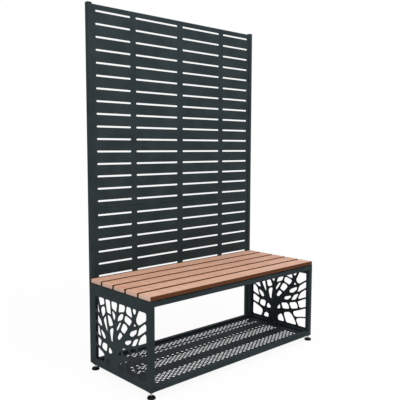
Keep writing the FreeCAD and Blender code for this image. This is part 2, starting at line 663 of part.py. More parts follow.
def make_post(side, sign, heights):
    """A full-height tube with its cap and foot plug, drilled for bolts and sheet screws."""
    name = f"post_{side}"
    corner = (f"{sign} * postX - postSize / 2", "rearY", "footDrop")
    lengths = ("postSize", "postSize", "postTop - footDrop")
    post = tube(name, lengths, corner, "Z", "postWall", "postRound")
    holes = [rod(f"{name}_bolt_hole_{where}", "boltRadius + screwGap", "postSize + 2 * overrun",
                 (f"{sign} * boltX", "rearY - overrun", z), "Y")
             for where, where_sign, z in bolt_places() if where_sign == sign]
    left, right = (1 - sign) // 2, (1 + sign) // 2
    inner_wall = f"{sign} * panelHalf - {left} * (postWall + overrun) - {right} * overrun"
    holes += [rod(f"{name}_screw_hole_{i}", "screwRadius + screwGap", "postWall + 2 * overrun",
                  (inner_wall, "flangeMidY", z), "X") for i, z in enumerate(heights)]
    keep(name, cut(name, post, holes))
    keep(f"post_cap_{side}", make_cap(f"post_cap_{side}", sign))
    plug = box(f"post_plug_{side}", ("plugSide", "plugSide", "plugLength"),
               (f"{sign} * postX - plugSide / 2", "rearY + postSize / 2 - plugSide / 2", "footDrop"))
    keep(f"post_plug_{side}", plug)


def make_cap(name, sign):
    """A cap with rounded top edges, and a stem that sits in the post."""
    body = doc.addObject("PartDesign::Body", name)
    lid = body.newObject("PartDesign::AdditiveBox", f"{name}_lid")
    for prop, text in zip(BOX_LENGTHS, ("postSize", "postSize", "capRise")):
        bind(lid, prop, text)
    doc.recompute()
    rounding = body.newObject("PartDesign::Fillet", f"{name}_round")
    upper = [f"Edge{i + 1}" for i, edge in enumerate(lid.Shape.Edges)
             if min(vertex.Z for vertex in edge.Vertexes) > size("capRise") / 2]
    rounding.Base = (lid, upper)
    bind(rounding, "Radius", "capRound")
    doc.recompute()
    stem = body.newObject("PartDesign::AdditiveBox", f"{name}_stem")
    for prop, text in zip(BOX_LENGTHS, ("plugSide", "plugSide", "capStem")):
        bind(stem, prop, text)
    for axis, text in zip("xyz", ("(postSize - plugSide) / 2", "(postSize - plugSide) / 2", "-capStem")):
        bind(stem, f"Placement.Base.{axis}", text)
    return place(body, (f"{sign} * postX - postSize / 2", "rearY", "postTop"))


def panel_screw(name, sign, z):
    """One screw from inside a sheet's folded edge into the post's inner wall."""
    inner = f"{sign} * (panelHalf - panelSheet)"
    head_start = f"{inner} - {(1 + sign) // 2} * screwHead"
    reach = "panelSheet + postWall + boltTail"
    shank_start = f"{inner} - {(1 - sign) // 2} * ({reach})"
    head = rod(f"{name}_head", "screwHeadRadius", "screwHead", (head_start, "flangeMidY", z), "X")
    shank = rod(f"{name}_shank", "screwRadius", reach, (shank_start, "flangeMidY", z), "X")
    return fuse(name, [head, shank])


def joint_bolt(name, x):
    """One upright bolt that clamps the two screen sheets' edges, its head on top."""
    grip_top = "upperPanelZ + panelSheet"
    reach = "2 * panelSheet + jointNutHeight + boltTail"
    head = rod(f"{name}_head", "jointBoltHeadRadius", "jointBoltHead", (x, "flangeMidY", grip_top))
    shank = rod(f"{name}_shank", "jointBoltRadius", reach, (x, "flangeMidY", f"{grip_top} - ({reach})"))
    return fuse(name, [head, shank])


def joint_nut(name, x):
    """The nut of one of those bolts, under the lower sheet's edge."""
    low = "upperPanelZ - panelSheet - jointNutHeight"
    body = hexagon(f"{name}_body", "jointNutFlats", "jointNutHeight", (x, "flangeMidY", low))
    bore = rod(f"{name}_bore", "jointBoltRadius + screwGap", "jointNutHeight + 2 * overrun",
               (x, "flangeMidY", f"{low} - overrun"))
    return cut(name, body, [bore])


def leg_bolt(name, sign, z):
    """One bolt through a post into its rear leg, its head on the post's back."""
    back = "rearY + postSize"
    reach = "postSize + tubeWall + nutHeight + boltTail"
    head = rod(f"{name}_head", "boltHeadRadius", "boltHead", (f"{sign} * boltX", back, z), "Y")
    shank = rod(f"{name}_shank", "boltRadius", reach, (f"{sign} * boltX", f"{back} - ({reach})", z), "Y")
    return fuse(name, [head, shank])


def leg_nut(name, sign, z):
    """The nut of one of those bolts, welded inside the leg's rear wall."""
    start = "rearY - tubeWall - nutHeight"
    body = hexagon(f"{name}_body", "nutFlats", "nutHeight", (f"{sign} * boltX", start, z), "Y")
    bore = rod(f"{name}_bore", "boltRadius + screwGap", "nutHeight + 2 * overrun",
               (f"{sign} * boltX", f"{start} - overrun", z), "Y")
    return cut(name, body, [bore])


def on_border(first, second):
    """Whether an edge between two branch points runs along the window's border."""
    return any(first[i] == second[i] and first[i] in (0, 1) for i in (0, 1))


def meet(first, second):
    """Where two lines, each given by two points, cross."""
    (ax, ay), (bx, by) = first
    (cx, cy), (dx, dy) = second
    rx, ry, sx, sy = bx - ax, by - ay, dx - cx, dy - cy
    along = ((cx - ax) * sy - (cy - ay) * sx) / (rx * sy - ry * sx)
    return FreeCAD.Vector(ax + along * rx, ay + along * ry, 0)


def cell_corners(names, depth, height):
    """Corners of one cut-out: the loop of branch points, each edge moved in by the
    branch's half width at either end, and neighbouring edges crossed again."""
    shares = [BRANCH_SHARES[name] for name in names]
    middles = [(along * depth, up * height) for along, up, half in shares]
    lines = []
    for i, (x0, y0) in enumerate(middles):
        j = (i + 1) % len(middles)
        x1, y1 = middles[j]
        length = math.hypot(x1 - x0, y1 - y0)
        nx, ny = (y0 - y1) / length, (x1 - x0) / length
        inside = 0 if on_border(shares[i], shares[j]) else 1
        first, last = inside * shares[i][2] * height, inside * shares[j][2] * height
        lines.append(((x0 + nx * first, y0 + ny * first), (x1 + nx * last, y1 + ny * last)))
    corners = [meet(lines[i - 1], lines[i]) for i in range(len(lines))]
    touching = [on_border(shares[i - 1], shares[i]) or on_border(shares[i], shares[(i + 1) % len(shares)])
                for i in range(len(shares))]
    return corners, touching


def rounded_wire(corners, radii):
    """A closed wire of straight runs and tangent arcs through the given corners."""
    arcs = []
    for i, corner in enumerate(corners):
        before = corners[i - 1] - corner
        after = corners[(i + 1) % len(corners)] - corner
        half = before.getAngle(after) / 2
        reach = min(CORNER_SHARE * min(before.Length, after.Length), radii[i] / math.tan(half))
        radius = reach * math.tan(half)
        inward = before.normalize() + after.normalize()
        middle = corner + inward.normalize() * (radius / math.sin(half) - radius)
        arcs.append((corner + before * reach, middle, corner + after * reach))
    edges = []
    for i, (start, middle, end) in enumerate(arcs):
        edges.append(Part.Arc(start, middle, end).toShape())
        edges.append(Part.LineSegment(end, arcs[(i + 1) % len(arcs)][0]).toShape())
    return Part.Wire(edges)


def make_side_sheets():
    """Two laser-cut sheets between the legs, each with the same branch cut-outs."""
    depth = size("benchDepth") - 2 * size("tubeSize") - 2 * size("windowSideBorder")
    height = (size("frameHeight") - 2 * size("tubeSize")
              - size("windowLowBorder") - size("windowTopBorder"))
    reach = size("sideSheet") + 2 * size("overrun")
    prisms = []
    for names in CELLS:
        corners, touching = cell_corners(names, depth, height)
        radii = [size("cellEdgeRound") if edge else size("cellRound") for edge in touching]
        prisms.append(Part.Face(rounded_wire(corners, radii)).extrude(UP * reach))
    upright = FreeCAD.Rotation(
        FreeCAD.Vector(0, 1, 0), FreeCAD.Vector(0, 0, 1), FreeCAD.Vector(1, 0, 0), "ZXY")
    for side, sign in SIDES:
        name = f"side_panel_{side}"
        outer = "(benchWidth / 2 - sideInset)"
        low = f"{sign} * {outer} - {(1 + sign) // 2} * sideSheet"
        plate = box(f"{name}_plate", ("sideSheet", "innerDepth", "frameHeight - 2 * tubeSize"),
                    (low, "frontY + tubeSize", "footDrop + tubeSize"))
        tools = doc.addObject("Part::Feature", f"{name}_cutouts")
        tools.Shape = Part.Compound(prisms)
        tools.Placement.Rotation = upright
        place(tools, (f"{low} - overrun", "frontY + tubeSize + windowSideBorder",
                      "footDrop + tubeSize + windowLowBorder"))
        keep(name, cut(name, plate, [tools]))


def mesh_openings():
    """Middles of all the mesh openings: three fields of staggered rows."""
    fields = ((-1, count("endFieldRows")), (0, count("midFieldRows")), (1, count("endFieldRows")))
    places = []
    for field, rows in fields:
        for row in range(rows):
            number = count("meshColumns") - row % 2
            y = field * size("fieldPitch") + (row - (rows - 1) / 2) * size("meshRow")
            places += [((i - (number - 1) / 2) * size("meshPitch"), y) for i in range(number)]
    return places


def make_shelf():
    """A perforated tray inside the lower rails, with bars welded under it."""
    half_long, half_cross = size("meshPitch") / 2, size("meshRow")
    side_distance = half_long * half_cross / math.hypot(half_long, half_cross)
    shrink = 1 - size("meshStrand") / 2 / side_distance
    a, b = half_long * shrink, half_cross * shrink
    reach = size("shelfSheet") + 2 * size("overrun")
    diamonds = [Part.makePolygon([FreeCAD.Vector(x + dx, y + dy, 0) for dx, dy in (
        (a, 0), (0, b), (-a, 0), (0, -b), (a, 0))]) for x, y in mesh_openings()]
    mesh = doc.addObject("Part::Feature", "shelf_mesh")
    mesh.Shape = Part.Compound([Part.Face(diamond).extrude(UP * reach) for diamond in diamonds])
    place(mesh, ("0", "midY", "shelfUnder - overrun"))
    lengths = ("innerWidth", "innerDepth", "shelfFlange")
    tray, _ = folded_tray("shelf", lengths, "Z", "shelfSheet", 0)
    place(tray, ("-innerX", "frontY + tubeSize", "shelfTop - shelfFlange"))
    screw_holes = []
    for end, rear in ENDS:
        start = f"{shelf_fold_face(rear)} - {rear} * shelfSheet - overrun"
        screw_holes += [rod(f"shelf_hole_{end}_{i}", "screwRadius + screwGap", "shelfSheet + 2 * overrun",
                            (x, start, shelf_screw_height()), "Y")
                        for i, x in enumerate(shelf_screw_places())]
    drilled = cut("shelf_drilled", tray, screw_holes)
    keep("shelf_panel", cut("shelf_panel", drilled, [mesh]))
    for i in range(count("ribCount")):
        y = f"midY + ribSetBack + ({i} - (ribCount - 1) / 2) * ribPitch - ribThickness / 2"
        lengths = ("innerWidth - 2 * shelfSheet - 2 * ribEndGap", "ribThickness", "ribHeight")
        bar = box(f"shelf_rib_{i + 1}", lengths,
                  ("-innerX + shelfSheet + ribEndGap", y, "shelfUnder - ribHeight"))
        keep(f"shelf_rib_{i + 1}", bar)
    screws = [shelf_screw(f"shelf_screw_{end}_{i}", rear, x)
              for end, rear in ENDS for i, x in enumerate(shelf_screw_places())]
    keep("shelf_screws", together("shelf_screws", screws))


def shelf_screw_places():
    """Middles of the screws along the shelf's long edges, along X."""
    number = count("shelfFixings")
    return [f"shelfScrewX * (2 * {spread(i, number)} - 1)" for i in range(number)]


def shelf_screw_height():
    """Height of the screws, in the middle of the flat of the shelf's folded edges."""
    return "(shelfTop - (shelfSheet + foldRadius + shelfFlange) / 2)"


def shelf_fold_face(rear):
    """Where the shelf's folded edge touches the front or rear rail."""
    return f"frontY + tubeSize + {rear} * innerDepth"


def shelf_screw(name, rear, x):
    """One screw from inside the shelf's folded edge into a lower rail's inner wall."""
    inner = f"{shelf_fold_face(rear)} + {1 - 2 * rear} * shelfSheet"
    reach = "shelfSheet + tubeWall + boltTail"
    head_start = f"{inner} - {rear} * screwHead"
    shank_start = f"{inner} - {1 - rear} * ({reach})"
    head = rod(f"{name}_head", "screwHeadRadius", "screwHead", (x, head_start, shelf_screw_height()), "Y")
    shank = rod(f"{name}_shank", "screwRadius", reach, (x, shank_start, shelf_screw_height()), "Y")
    return fuse(name, [head, shank])


def make_foot(where, sign, rear):
    """Threaded insert in the leg, stud with a hexagon, and the pad that the stud turns in."""
    x, y = f"{sign} * legX", f"{leg_y(rear)} + tubeSize / 2"
    block = box(f"insert_{where}_block", ("insertSide", "insertSide", "insertLength"),
                (f"{x} - insertSide / 2", f"{y} - insertSide / 2", "footDrop"))
    thread = rod(f"insert_{where}_thread", "studRadius + threadGap", "insertLength + 2 * overrun",
                 (x, y, "footDrop - overrun"))
    keep(f"leg_insert_{where}", cut(f"leg_insert_{where}", block, [thread]))
    collar = rod(f"stud_{where}_collar", "collarRadius", "collarHeight", (x, y, "padFloor"))
    shank = rod(f"stud_{where}_shank", "studRadius", "studTop - padFloor", (x, y, "padFloor"))
    hexnut = hexagon(f"stud_{where}_hexagon", "hexFlats", "hexHeight", (x, y, "hexTop - hexHeight"))
    keep(f"foot_stud_{where}", fuse(f"foot_stud_{where}", [collar, shank, hexnut]))
    rim = rod(f"pad_{where}_rim", "padRadius", "padRim", (x, y, "0"))
    cone = doc.addObject("Part::Cone", f"pad_{where}_cone")
    for prop, text in (("Radius1", "padRadius"), ("Radius2", "padNeck"), ("Height", "padHeight - padRim")):
        bind(cone, prop, text)
    place(cone, (x, y, "padRim"))
    solid = fuse(f"pad_{where}_solid", [rim, cone])
    pocket = rod(f"pad_{where}_pocket", "collarRadius + collarGap", "collarHeight + collarGap",
                 (x, y, "padFloor"))
    mouth = rod(f"pad_{where}_mouth", "studRadius + collarGap", "padHeight - padFloor + overrun",
                (x, y, "padFloor"))
    keep(f"foot_pad_{where}", cut(f"foot_pad_{where}", solid, [fuse(f"pad_{where}_tools", [pocket, mouth])]))


def check_and_write():
    """Stop on any failed object or broken shape, then write one file per sub-part."""
    doc.recompute()
    failed = [thing.Label for thing in doc.Objects if {"Invalid", "Error"} & set(thing.State)]
    if failed:
        raise RuntimeError(f"failed objects: {failed}")
    for label, thing in parts.items():
        if thing.Shape.isNull() or not thing.Shape.isValid() or not thing.Shape.Solids:
            raise RuntimeError(f"{label} has no valid solid")
    os.makedirs("parts", exist_ok=True)
    for label, thing in parts.items():
        thing.Shape.exportStep(os.path.join("parts", f"{label}.step"))
    print(len(parts), "sub-parts written")


make_legs()
make_rails()
make_seat()
make_side_sheets()
make_shelf()
make_screen()
for side, sign in SIDES:
    for end, rear in ENDS:
        make_foot(f"{end}_{side}", sign, rear)
check_and_write()
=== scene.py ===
"""Looks of a privacy screen with a slatted bench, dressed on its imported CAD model.

Lengths are in metres. X runs along the bench, +Y from the front of the seat to the
screen, +Z up, with the origin on the floor under the middle of the object.
"""

import json
import logging
import math
from collections.abc import Iterable, Mapping
from dataclasses import dataclass, field
from enum import Enum
from itertools import product
from typing import Any, Union

import bpy
import numpy as np
from mathutils import Matrix, Vector

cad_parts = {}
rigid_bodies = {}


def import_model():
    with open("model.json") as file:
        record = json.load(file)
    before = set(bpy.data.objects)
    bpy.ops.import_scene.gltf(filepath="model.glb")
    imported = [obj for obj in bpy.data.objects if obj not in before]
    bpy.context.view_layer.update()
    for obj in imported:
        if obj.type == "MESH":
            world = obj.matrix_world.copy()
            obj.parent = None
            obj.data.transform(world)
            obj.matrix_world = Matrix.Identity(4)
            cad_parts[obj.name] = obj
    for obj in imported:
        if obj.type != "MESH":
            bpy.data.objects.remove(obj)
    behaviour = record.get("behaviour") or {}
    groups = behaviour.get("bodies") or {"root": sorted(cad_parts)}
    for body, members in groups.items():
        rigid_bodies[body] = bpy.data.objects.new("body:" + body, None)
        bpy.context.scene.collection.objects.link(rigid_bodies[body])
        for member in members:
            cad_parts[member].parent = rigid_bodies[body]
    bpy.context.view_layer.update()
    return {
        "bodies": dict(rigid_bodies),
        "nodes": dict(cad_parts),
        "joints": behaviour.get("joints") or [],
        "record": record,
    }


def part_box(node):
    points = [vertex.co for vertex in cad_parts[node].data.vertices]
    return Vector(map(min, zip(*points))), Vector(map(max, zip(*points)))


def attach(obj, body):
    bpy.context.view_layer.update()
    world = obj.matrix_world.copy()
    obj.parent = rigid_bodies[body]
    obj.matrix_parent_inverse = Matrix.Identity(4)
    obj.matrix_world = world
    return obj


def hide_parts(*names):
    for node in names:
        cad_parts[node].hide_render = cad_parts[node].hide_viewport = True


LOG = logging.getLogger("screen_bench")
WHITE = (1.0, 1.0, 1.0, 1.0)
CREASE = math.radians(32)

Numbers = np.ndarray
Pair = tuple[float, float]
Place = tuple[float, float, float]
Shade = tuple[int, int, int]  # a written colour: red, green and blue from 0 to 255
Value = Union["Reading", float, int]


class Slot(Enum):
    """The finishes that the record names."""

    FRAME = "frame_coat"
    SHELF = "shelf_coat"
    WOOD = "seat_wood"
    ZINC = "zinc"
    BLACK = "black_plastic"
    FOOT = "foot_plastic"


def linear(shade: Shade) -> tuple[float, float, float, float]:
    """Turn a written screen colour into the renderer's linear colour.

    Args:
        shade: Red, green and blue from 0 to 255.

    Returns:
        Linear red, green, blue and an alpha of 1.
    """
    parts = np.asarray(shade, float) / 255
    bright = ((parts + 0.055) / 1.055) ** 2.4
    red, green, blue = np.where(parts <= 0.04045, parts / 12.92, bright)
    return (float(red), float(green), float(blue), 1.0)


class Reading:
    """A number read from a shader socket, which takes part in arithmetic."""

    def __init__(self, finish: "Finish", socket: bpy.types.NodeSocket) -> None:
        """Keep the socket and the finish whose nodes the sums go into."""
        self.finish = finish
        self.socket = socket

    def sum_node(self, operation: str, *values: Value) -> "Reading":
        """Add one Math node.

        Args:
            operation: The Math node's operation.
            values: Its inputs, in order.

        Returns:
            The node's result.
        """
        sockets = dict(enumerate(values))
        node = self.finish.node("ShaderNodeMath", {"operation": operation}, sockets)
        return Reading(self.finish, node.outputs[0])

    def __add__(self, other: Value) -> "Reading":
        """Sum of both."""
        return self.sum_node("ADD", self, other)

    def __radd__(self, other: Value) -> "Reading":
        """Sum of both."""
        return self.sum_node("ADD", other, self)

    def __sub__(self, other: Value) -> "Reading":
        """This less the other."""
        return self.sum_node("SUBTRACT", self, other)

    def __rsub__(self, other: Value) -> "Reading":
        """The other less this."""
        return self.sum_node("SUBTRACT", other, self)

    def __mul__(self, other: Value) -> "Reading":
        """Product of both."""
        return self.sum_node("MULTIPLY", self, other)

    def __rmul__(self, other: Value) -> "Reading":
        """Product of both."""
        return self.sum_node("MULTIPLY", other, self)

    def __truediv__(self, other: Value) -> "Reading":
        """This over the other."""
        return self.sum_node("DIVIDE", self, other)

    def __pow__(self, other: Value) -> "Reading":
        """This to a power."""
        return self.sum_node("POWER", self, other)

    def __abs__(self) -> "Reading":
        """Distance from zero."""
        return self.sum_node("ABSOLUTE", self)

    def floor(self) -> "Reading":
        """Whole part."""
        return self.sum_node("FLOOR", self)

    def root(self) -> "Reading":
        """Square root."""
        return self.sum_node("SQRT", self)

    def sine(self) -> "Reading":
        """Sine."""
        return self.sum_node("SINE", self)

    def larger(self, other: Value) -> "Reading":
        """The larger of both."""
        return self.sum_node("MAXIMUM", self, other)

    def step(self, low: float, high: float) -> "Reading":
        """A smooth step from 0 at the low limit to 1 at the high one."""
        node = self.finish.node(
            "ShaderNodeMapRange",
            {"interpolation_type": "SMOOTHSTEP"},
            {"Value": self, "From Min": low, "From Max": high},
        )
        return Reading(self.finish, node.outputs["Result"])


class Finish:
    """One material's nodes, and short ways to add to them."""

    def __init__(self, name: str) -> None:
        """Start a material that has one Principled shader.

        Args:
            name: The material's name.
        """
        self.material = bpy.data.materials.new(name)
        self.material.use_nodes = True
        self.tree = self.material.node_tree
        self.tree.nodes.clear()
        self.output = self.node("ShaderNodeOutputMaterial")
        self.shader = self.node("ShaderNodeBsdfPrincipled")
        self.tree.links.new(self.shader.outputs[0], self.output.inputs["Surface"])

    def node(
        self,
        kind: str,
        settings: Mapping[str, Any] | None = None,
        sockets: Mapping[str | int, Any] | None = None,
    ) -> bpy.types.Node:
        """Add a node, set it up, then fill or link its inputs.

        Args:
            kind: The node's type.
            settings: Its settings, or a ramp's stops as (place, linear colour).
            sockets: A value, a reading or a socket for each input by name or number.

        Returns:
            The node.
        """
        made = self.tree.nodes.new(kind)
        for name, value in (settings or {}).items():
            if name == "stops":
                for index, (place, colour) in enumerate(value):
                    stops = made.color_ramp.elements
                    stop = stops[index] if index < 2 else stops.new(place)
                    stop.position = place
                    stop.color = colour
            else:
                setattr(made, name, value)
        for name, value in (sockets or {}).items():
            self.feed(made.inputs[name], value)
        return made

    def feed(self, socket: bpy.types.NodeSocket, value: Any) -> None:
        """Link a reading or a socket to an input, or set the input to a number or colour."""
        if isinstance(value, Reading):
            self.tree.links.new(value.socket, socket)
        elif isinstance(value, bpy.types.NodeSocket):
            self.tree.links.new(value, socket)
        else:
            socket.default_value = value

    def place(self) -> tuple[bpy.types.NodeSocket, Reading, Reading, Reading]:
        """Where a point lies on the object.

        Returns:
            The place as a vector, and its three numbers.
        """
        vector = self.node("ShaderNodeTexCoord").outputs["Object"]
        split = self.node("ShaderNodeSeparateXYZ", None, {0: vector})
        return (vector, *(Reading(self, split.outputs[i]) for i in range(3)))

    def vector(self, x: Value, y: Value, z: Value) -> bpy.types.NodeSocket:
        """A vector from its three numbers."""
        return self.node("ShaderNodeCombineXYZ", None, {0: x, 1: y, 2: z}).outputs[0]

    def noise(self, vector: bpy.types.NodeSocket, scale: float, detail: float = 2.0) -> Reading:
        """Soft random numbers around one half.

        Args:
            vector: Where they are read.
            scale: Spots per unit of the vector.
            detail: How many finer layers are added.

        Returns:
            The noise.
        """
        node = self.node("ShaderNodeTexNoise", None, {"Vector": vector, "Scale": scale, "Detail": detail})
        return Reading(self, node.outputs[0])

    def ramp(self, amount: Reading, stops: Iterable[tuple[float, Shade]]) -> bpy.types.NodeSocket:
        """A colour from a number, through a row of written colours."""
        rows = [(place, linear(shade)) for place, shade in stops]
        return self.node("ShaderNodeValToRGB", {"stops": rows}, {"Fac": amount}).outputs["Color"]

    def blend(self, amount: Value, first: Any, second: Any, way: str = "MIX") -> bpy.types.NodeSocket:
        """Mix two colours.

        Args:
            amount: How much of the second one shows.
            first: A linear colour or a socket.
            second: A linear colour or a socket.
            way: The Mix node's blend type.

        Returns:
            The mixed colour.
        """
        node = self.node("ShaderNodeMix", {"data_type": "RGBA", "blend_type": way})
        self.feed(node.inputs[0], amount)
        self.feed(node.inputs[6], first)
        self.feed(node.inputs[7], second)
        return node.outputs[2]

    def surface(
        self, height: Reading | None = None, relief: float = 0.0, **sockets: Any
    ) -> bpy.types.Material:
        """Fill the shader's inputs and add its fine relief.

        Args:
            height: The relief's height, from 0 to 1.
            relief: What a height of 1 stands for, in metres.
            sockets: The shader's inputs, with _ for a blank in a name.

        Returns:
            The finished material.
        """
        for name, value in sockets.items():
            self.feed(self.shader.inputs[name.replace("_", " ")], value)
        if height is not None:
            bump = self.node("ShaderNodeBump", None, {"Height": height, "Strength": 1.0, "Distance": relief})
            self.feed(self.shader.inputs["Normal"], bump.outputs[0])
        return self.material


@dataclass(frozen=True)
class PowderCoat:
    """Baked powder on steel: an even colour with a fine pebbled skin.

    Clouds and specks are spots per metre, and a pebble's width and the relief are in
    metres. The shares say how much of the clouds, pebbles and specks is in the tone.
    """

    name: str
    deep: Shade
    pale: Shade
    roughness: float = 0.59
    rough_range: float = 0.1
    gloss: float = 0.1
    cloud_spots: float = 9.0
    speck_spots: float = 2600.0
    pebble: float = 0.0011
    relief: float = 0.000035
    shares: Place = (0.55, 0.25, 0.2)
    contrast: Pair = (0.36, 0.64)

    def make(self) -> bpy.types.Material:
        """Build the material: slow clouds and fine specks in the colour, pebbles in the relief."""
        finish = Finish(self.name)
        vector, *_ = finish.place()
        clouds = finish.noise(vector, self.cloud_spots, detail=3.0)
        pebbles = finish.noise(vector, 1 / self.pebble, detail=1.0)
        specks = finish.noise(vector, self.speck_spots, detail=0.0)
        slow, middle, fast = self.shares
        tone = (clouds * slow + pebbles * middle + specks * fast).step(*self.contrast)
        colour = finish.ramp(tone, ((0.0, self.deep), (1.0, self.pale)))
        return finish.surface(
            pebbles, self.relief, Base_Color=colour, Specular_IOR_Level=self.gloss,
            Roughness=self.roughness + self.rough_range * clouds)


@dataclass(frozen=True)
class Drawn:
    """Noise drawn out one way, with its spots per metre along a board and across it."""

    along: float
    across: float
    detail: float = 2.0

    def read(self, finish: Finish, x: Reading, y: Reading, z: Reading, drift: Reading) -> Reading:
        """The noise at a place.

        Args:
            finish: The material.
            x: Place along the board.
            y: Place across it.
            z: Height.
            drift: How far the noise is moved, other for each board.

        Returns:
            The noise, around one half.
        """
        vector = finish.vector(x * self.along + drift, y * self.across, z * self.across)
        return finish.noise(vector, 1.0, self.detail)


@dataclass(frozen=True)
class OiledBoards:
    """Straight-grained softwood boards: growth lines, fibres, and a tone for each board.

    The values from front to half_length are those of the frame's boards, in metres. A
    board's number changes at gap_lead before its front. The paler tone of an end, and the
    painted shade on a side or on the underside, start and end so far inside that face.
    """

    name: str
    front: float
    pitch: float
    half_width: float
    low: float
    top: float
    half_length: float

    early: Shade = (211, 175, 156)
    late: Shade = (178, 132, 107)
    pore: Shade = (120, 74, 52)
    end: Shade = (214, 190, 178)
    # Painted shade: the two dark browns below stand in for the shadow on board sides, rounded long edges and
    # undersides.
    edge: Shade = (84, 45, 21)
    painted_shade_fibre: Shade = (106, 64, 38)
    dull: Shade = (232, 214, 200)
    dull_share: float = 0.5
    roughness: float = 0.58
    rough_range: float = 0.16
    gloss: float = 0.12
    relief: float = 0.00012
    relief_shares: Pair = (0.7, 0.3)

    ring: float = 0.0052
    ring_power: float = 2.2
    pith_depth: float = 0.055
    pith_depth_range: float = 0.05
    pith_side_range: float = 0.07
    wander: Drawn = Drawn(1.6, 9.0, 3.0)
    wander_size: float = 0.03
    fibres: Drawn = Drawn(9.0, 950.0)
    streaks: Drawn = Drawn(3.0, 130.0)
    sawing: Drawn = Drawn(85.0, 5.0)
    contrast: Pair = (0.3, 0.7)
    fibre_contrast: Pair = (0.35, 0.7)
    shares: tuple[float, float, float, float] = (0.32, 0.2, 0.22, 0.26)
    pore_limits: Pair = (0.66, 0.74)
    pore_share: float = 0.35
    painted_shade_fibre_share: float = 0.35

    gap_lead: float = 0.003
    seed: float = 3.5
    drift: float = 3.7
    end_face: Pair = (0.0022, 0.0004)
    # How far inside a board's side the painted shade starts and ends.
    side_shade_band: Pair = (0.0058, 0.0036)
    # How far above a board's underside the painted shade fades out.
    under_shade_band: Pair = (0.0004, 0.0024)

    def rings(self, middle: Reading, z: Reading, luck: Reading, wander: Reading) -> Reading:
        """Growth lines: rings round a pith under the board, moved by slow noise.

        Args:
            middle: Distance from the board's middle line.
            z: Height.
            luck: The board's random number, which moves its pith.
            wander: The slow noise.

        Returns:
            A wave from 0 to 1 over the distance from the pith.
        """
        across = middle + (luck - 0.5) * self.pith_side_range
        depth = z - self.top + self.pith_depth + luck * self.pith_depth_range
        radius = (across * across + depth * depth).root() + wander * self.wander_size
        return (radius * (2 * math.pi / self.ring)).sine() * 0.5 + 0.5

    def make(self) -> bpy.types.Material:
        """Build the material.

        The fibres and streaks are noise drawn out along the board, and the faint sawing
        marks are noise drawn out across it. The end faces are paler. The sides, the rounded
        long edges and the underside get a painted shade: dark brown that stands in for the
        shadow on the front, in the gaps between the boards and under them.
        """
        finish = Finish(self.name)
        _, x, y, z = finish.place()
        board = ((y - (self.front - self.gap_lead)) / self.pitch).floor()
        chance = finish.node("ShaderNodeTexWhiteNoise", {"noise_dimensions": "1D"}, {"W": board + self.seed})
        luck = Reading(finish, chance.outputs["Value"])
        drift = board * self.drift
        middle = y - (board * self.pitch + (self.front + self.half_width))

        rings = self.rings(middle, z, luck, self.wander.read(finish, x, y, z, drift))
        sawing = self.sawing.read(finish, x, middle, z, drift)
        fibres = self.fibres.read(finish, x, y, z, drift)
        streaks = self.streaks.read(finish, x, y, z, drift)
        ring_share, fibre_share, streak_share, sawing_share = self.shares
        tone = (rings ** self.ring_power * ring_share
                + fibres.step(*self.fibre_contrast) * fibre_share
                + streaks.step(*self.contrast) * streak_share
                + sawing.step(*self.contrast) * sawing_share)
        grain = finish.ramp(tone, ((0.0, self.early), (1.0, self.late)))
        pores = fibres.step(*self.pore_limits) * self.pore_share
        face = finish.blend(pores, grain, linear(self.pore))

        at_end = abs(x).step(*(self.half_length - depth for depth in self.end_face))
        # Painted shade on the front, on the sides in the gaps and on the rounded long edges.
        painted_side_shade = abs(middle).step(*(self.half_width - depth for depth in self.side_shade_band))
        # Painted shade on the underside and its downward-facing rounding, which lie in shadow.
        below = 1 - z.step(*(self.low + height for height in self.under_shade_band))
        sawn = finish.ramp(rings, ((0.0, self.end), (1.0, self.early)))
        face = finish.blend(at_end, face, sawn)
        face = finish.blend(self.dull_share * luck, face, linear(self.dull), "MULTIPLY")
        # The painted shade's colour, with a little fibre in it, laid over the sides and the underside but
        # not the ends.
        shaded = finish.blend(fibres * self.painted_shade_fibre_share, linear(self.edge), linear(self.painted_shade_fibre))
        face = finish.blend(painted_side_shade.larger(below) * (1 - at_end), face, shaded)
        fine, coarse = self.relief_shares
        return finish.surface(
            fibres * fine + rings * coarse, self.relief, Base_Color=face, Specular_IOR_Level=self.gloss,
            Roughness=self.roughness + self.rough_range * fibres)


@dataclass(frozen=True)
class ZincPlate:
    """Zinc on steel fasteners: a dull, slightly mottled metal.

    Clouds and marks are spots per metre, and the relief is in metres.
    """

    name: str
    bright: Shade = (188, 190, 192)
    dull: Shade = (150, 152, 156)
    roughness: float = 0.28
    rough_range: float = 0.22
    cloud_spots: float = 420.0
    mark_spots: float = 4200.0
    relief: float = 0.00001

    def make(self) -> bpy.types.Material:
        """Build the material: cloudy roughness and fine turning marks."""
        finish = Finish(self.name)
        vector, *_ = finish.place()
        clouds = finish.noise(vector, self.cloud_spots, detail=3.0)
        marks = finish.noise(vector, self.mark_spots, detail=1.0)
        colour = finish.ramp(clouds, ((0.3, self.dull), (0.7, self.bright)))
        return finish.surface(
            marks, self.relief, Base_Color=colour, Metallic=1.0,
            Roughness=self.roughness + self.rough_range * clouds)


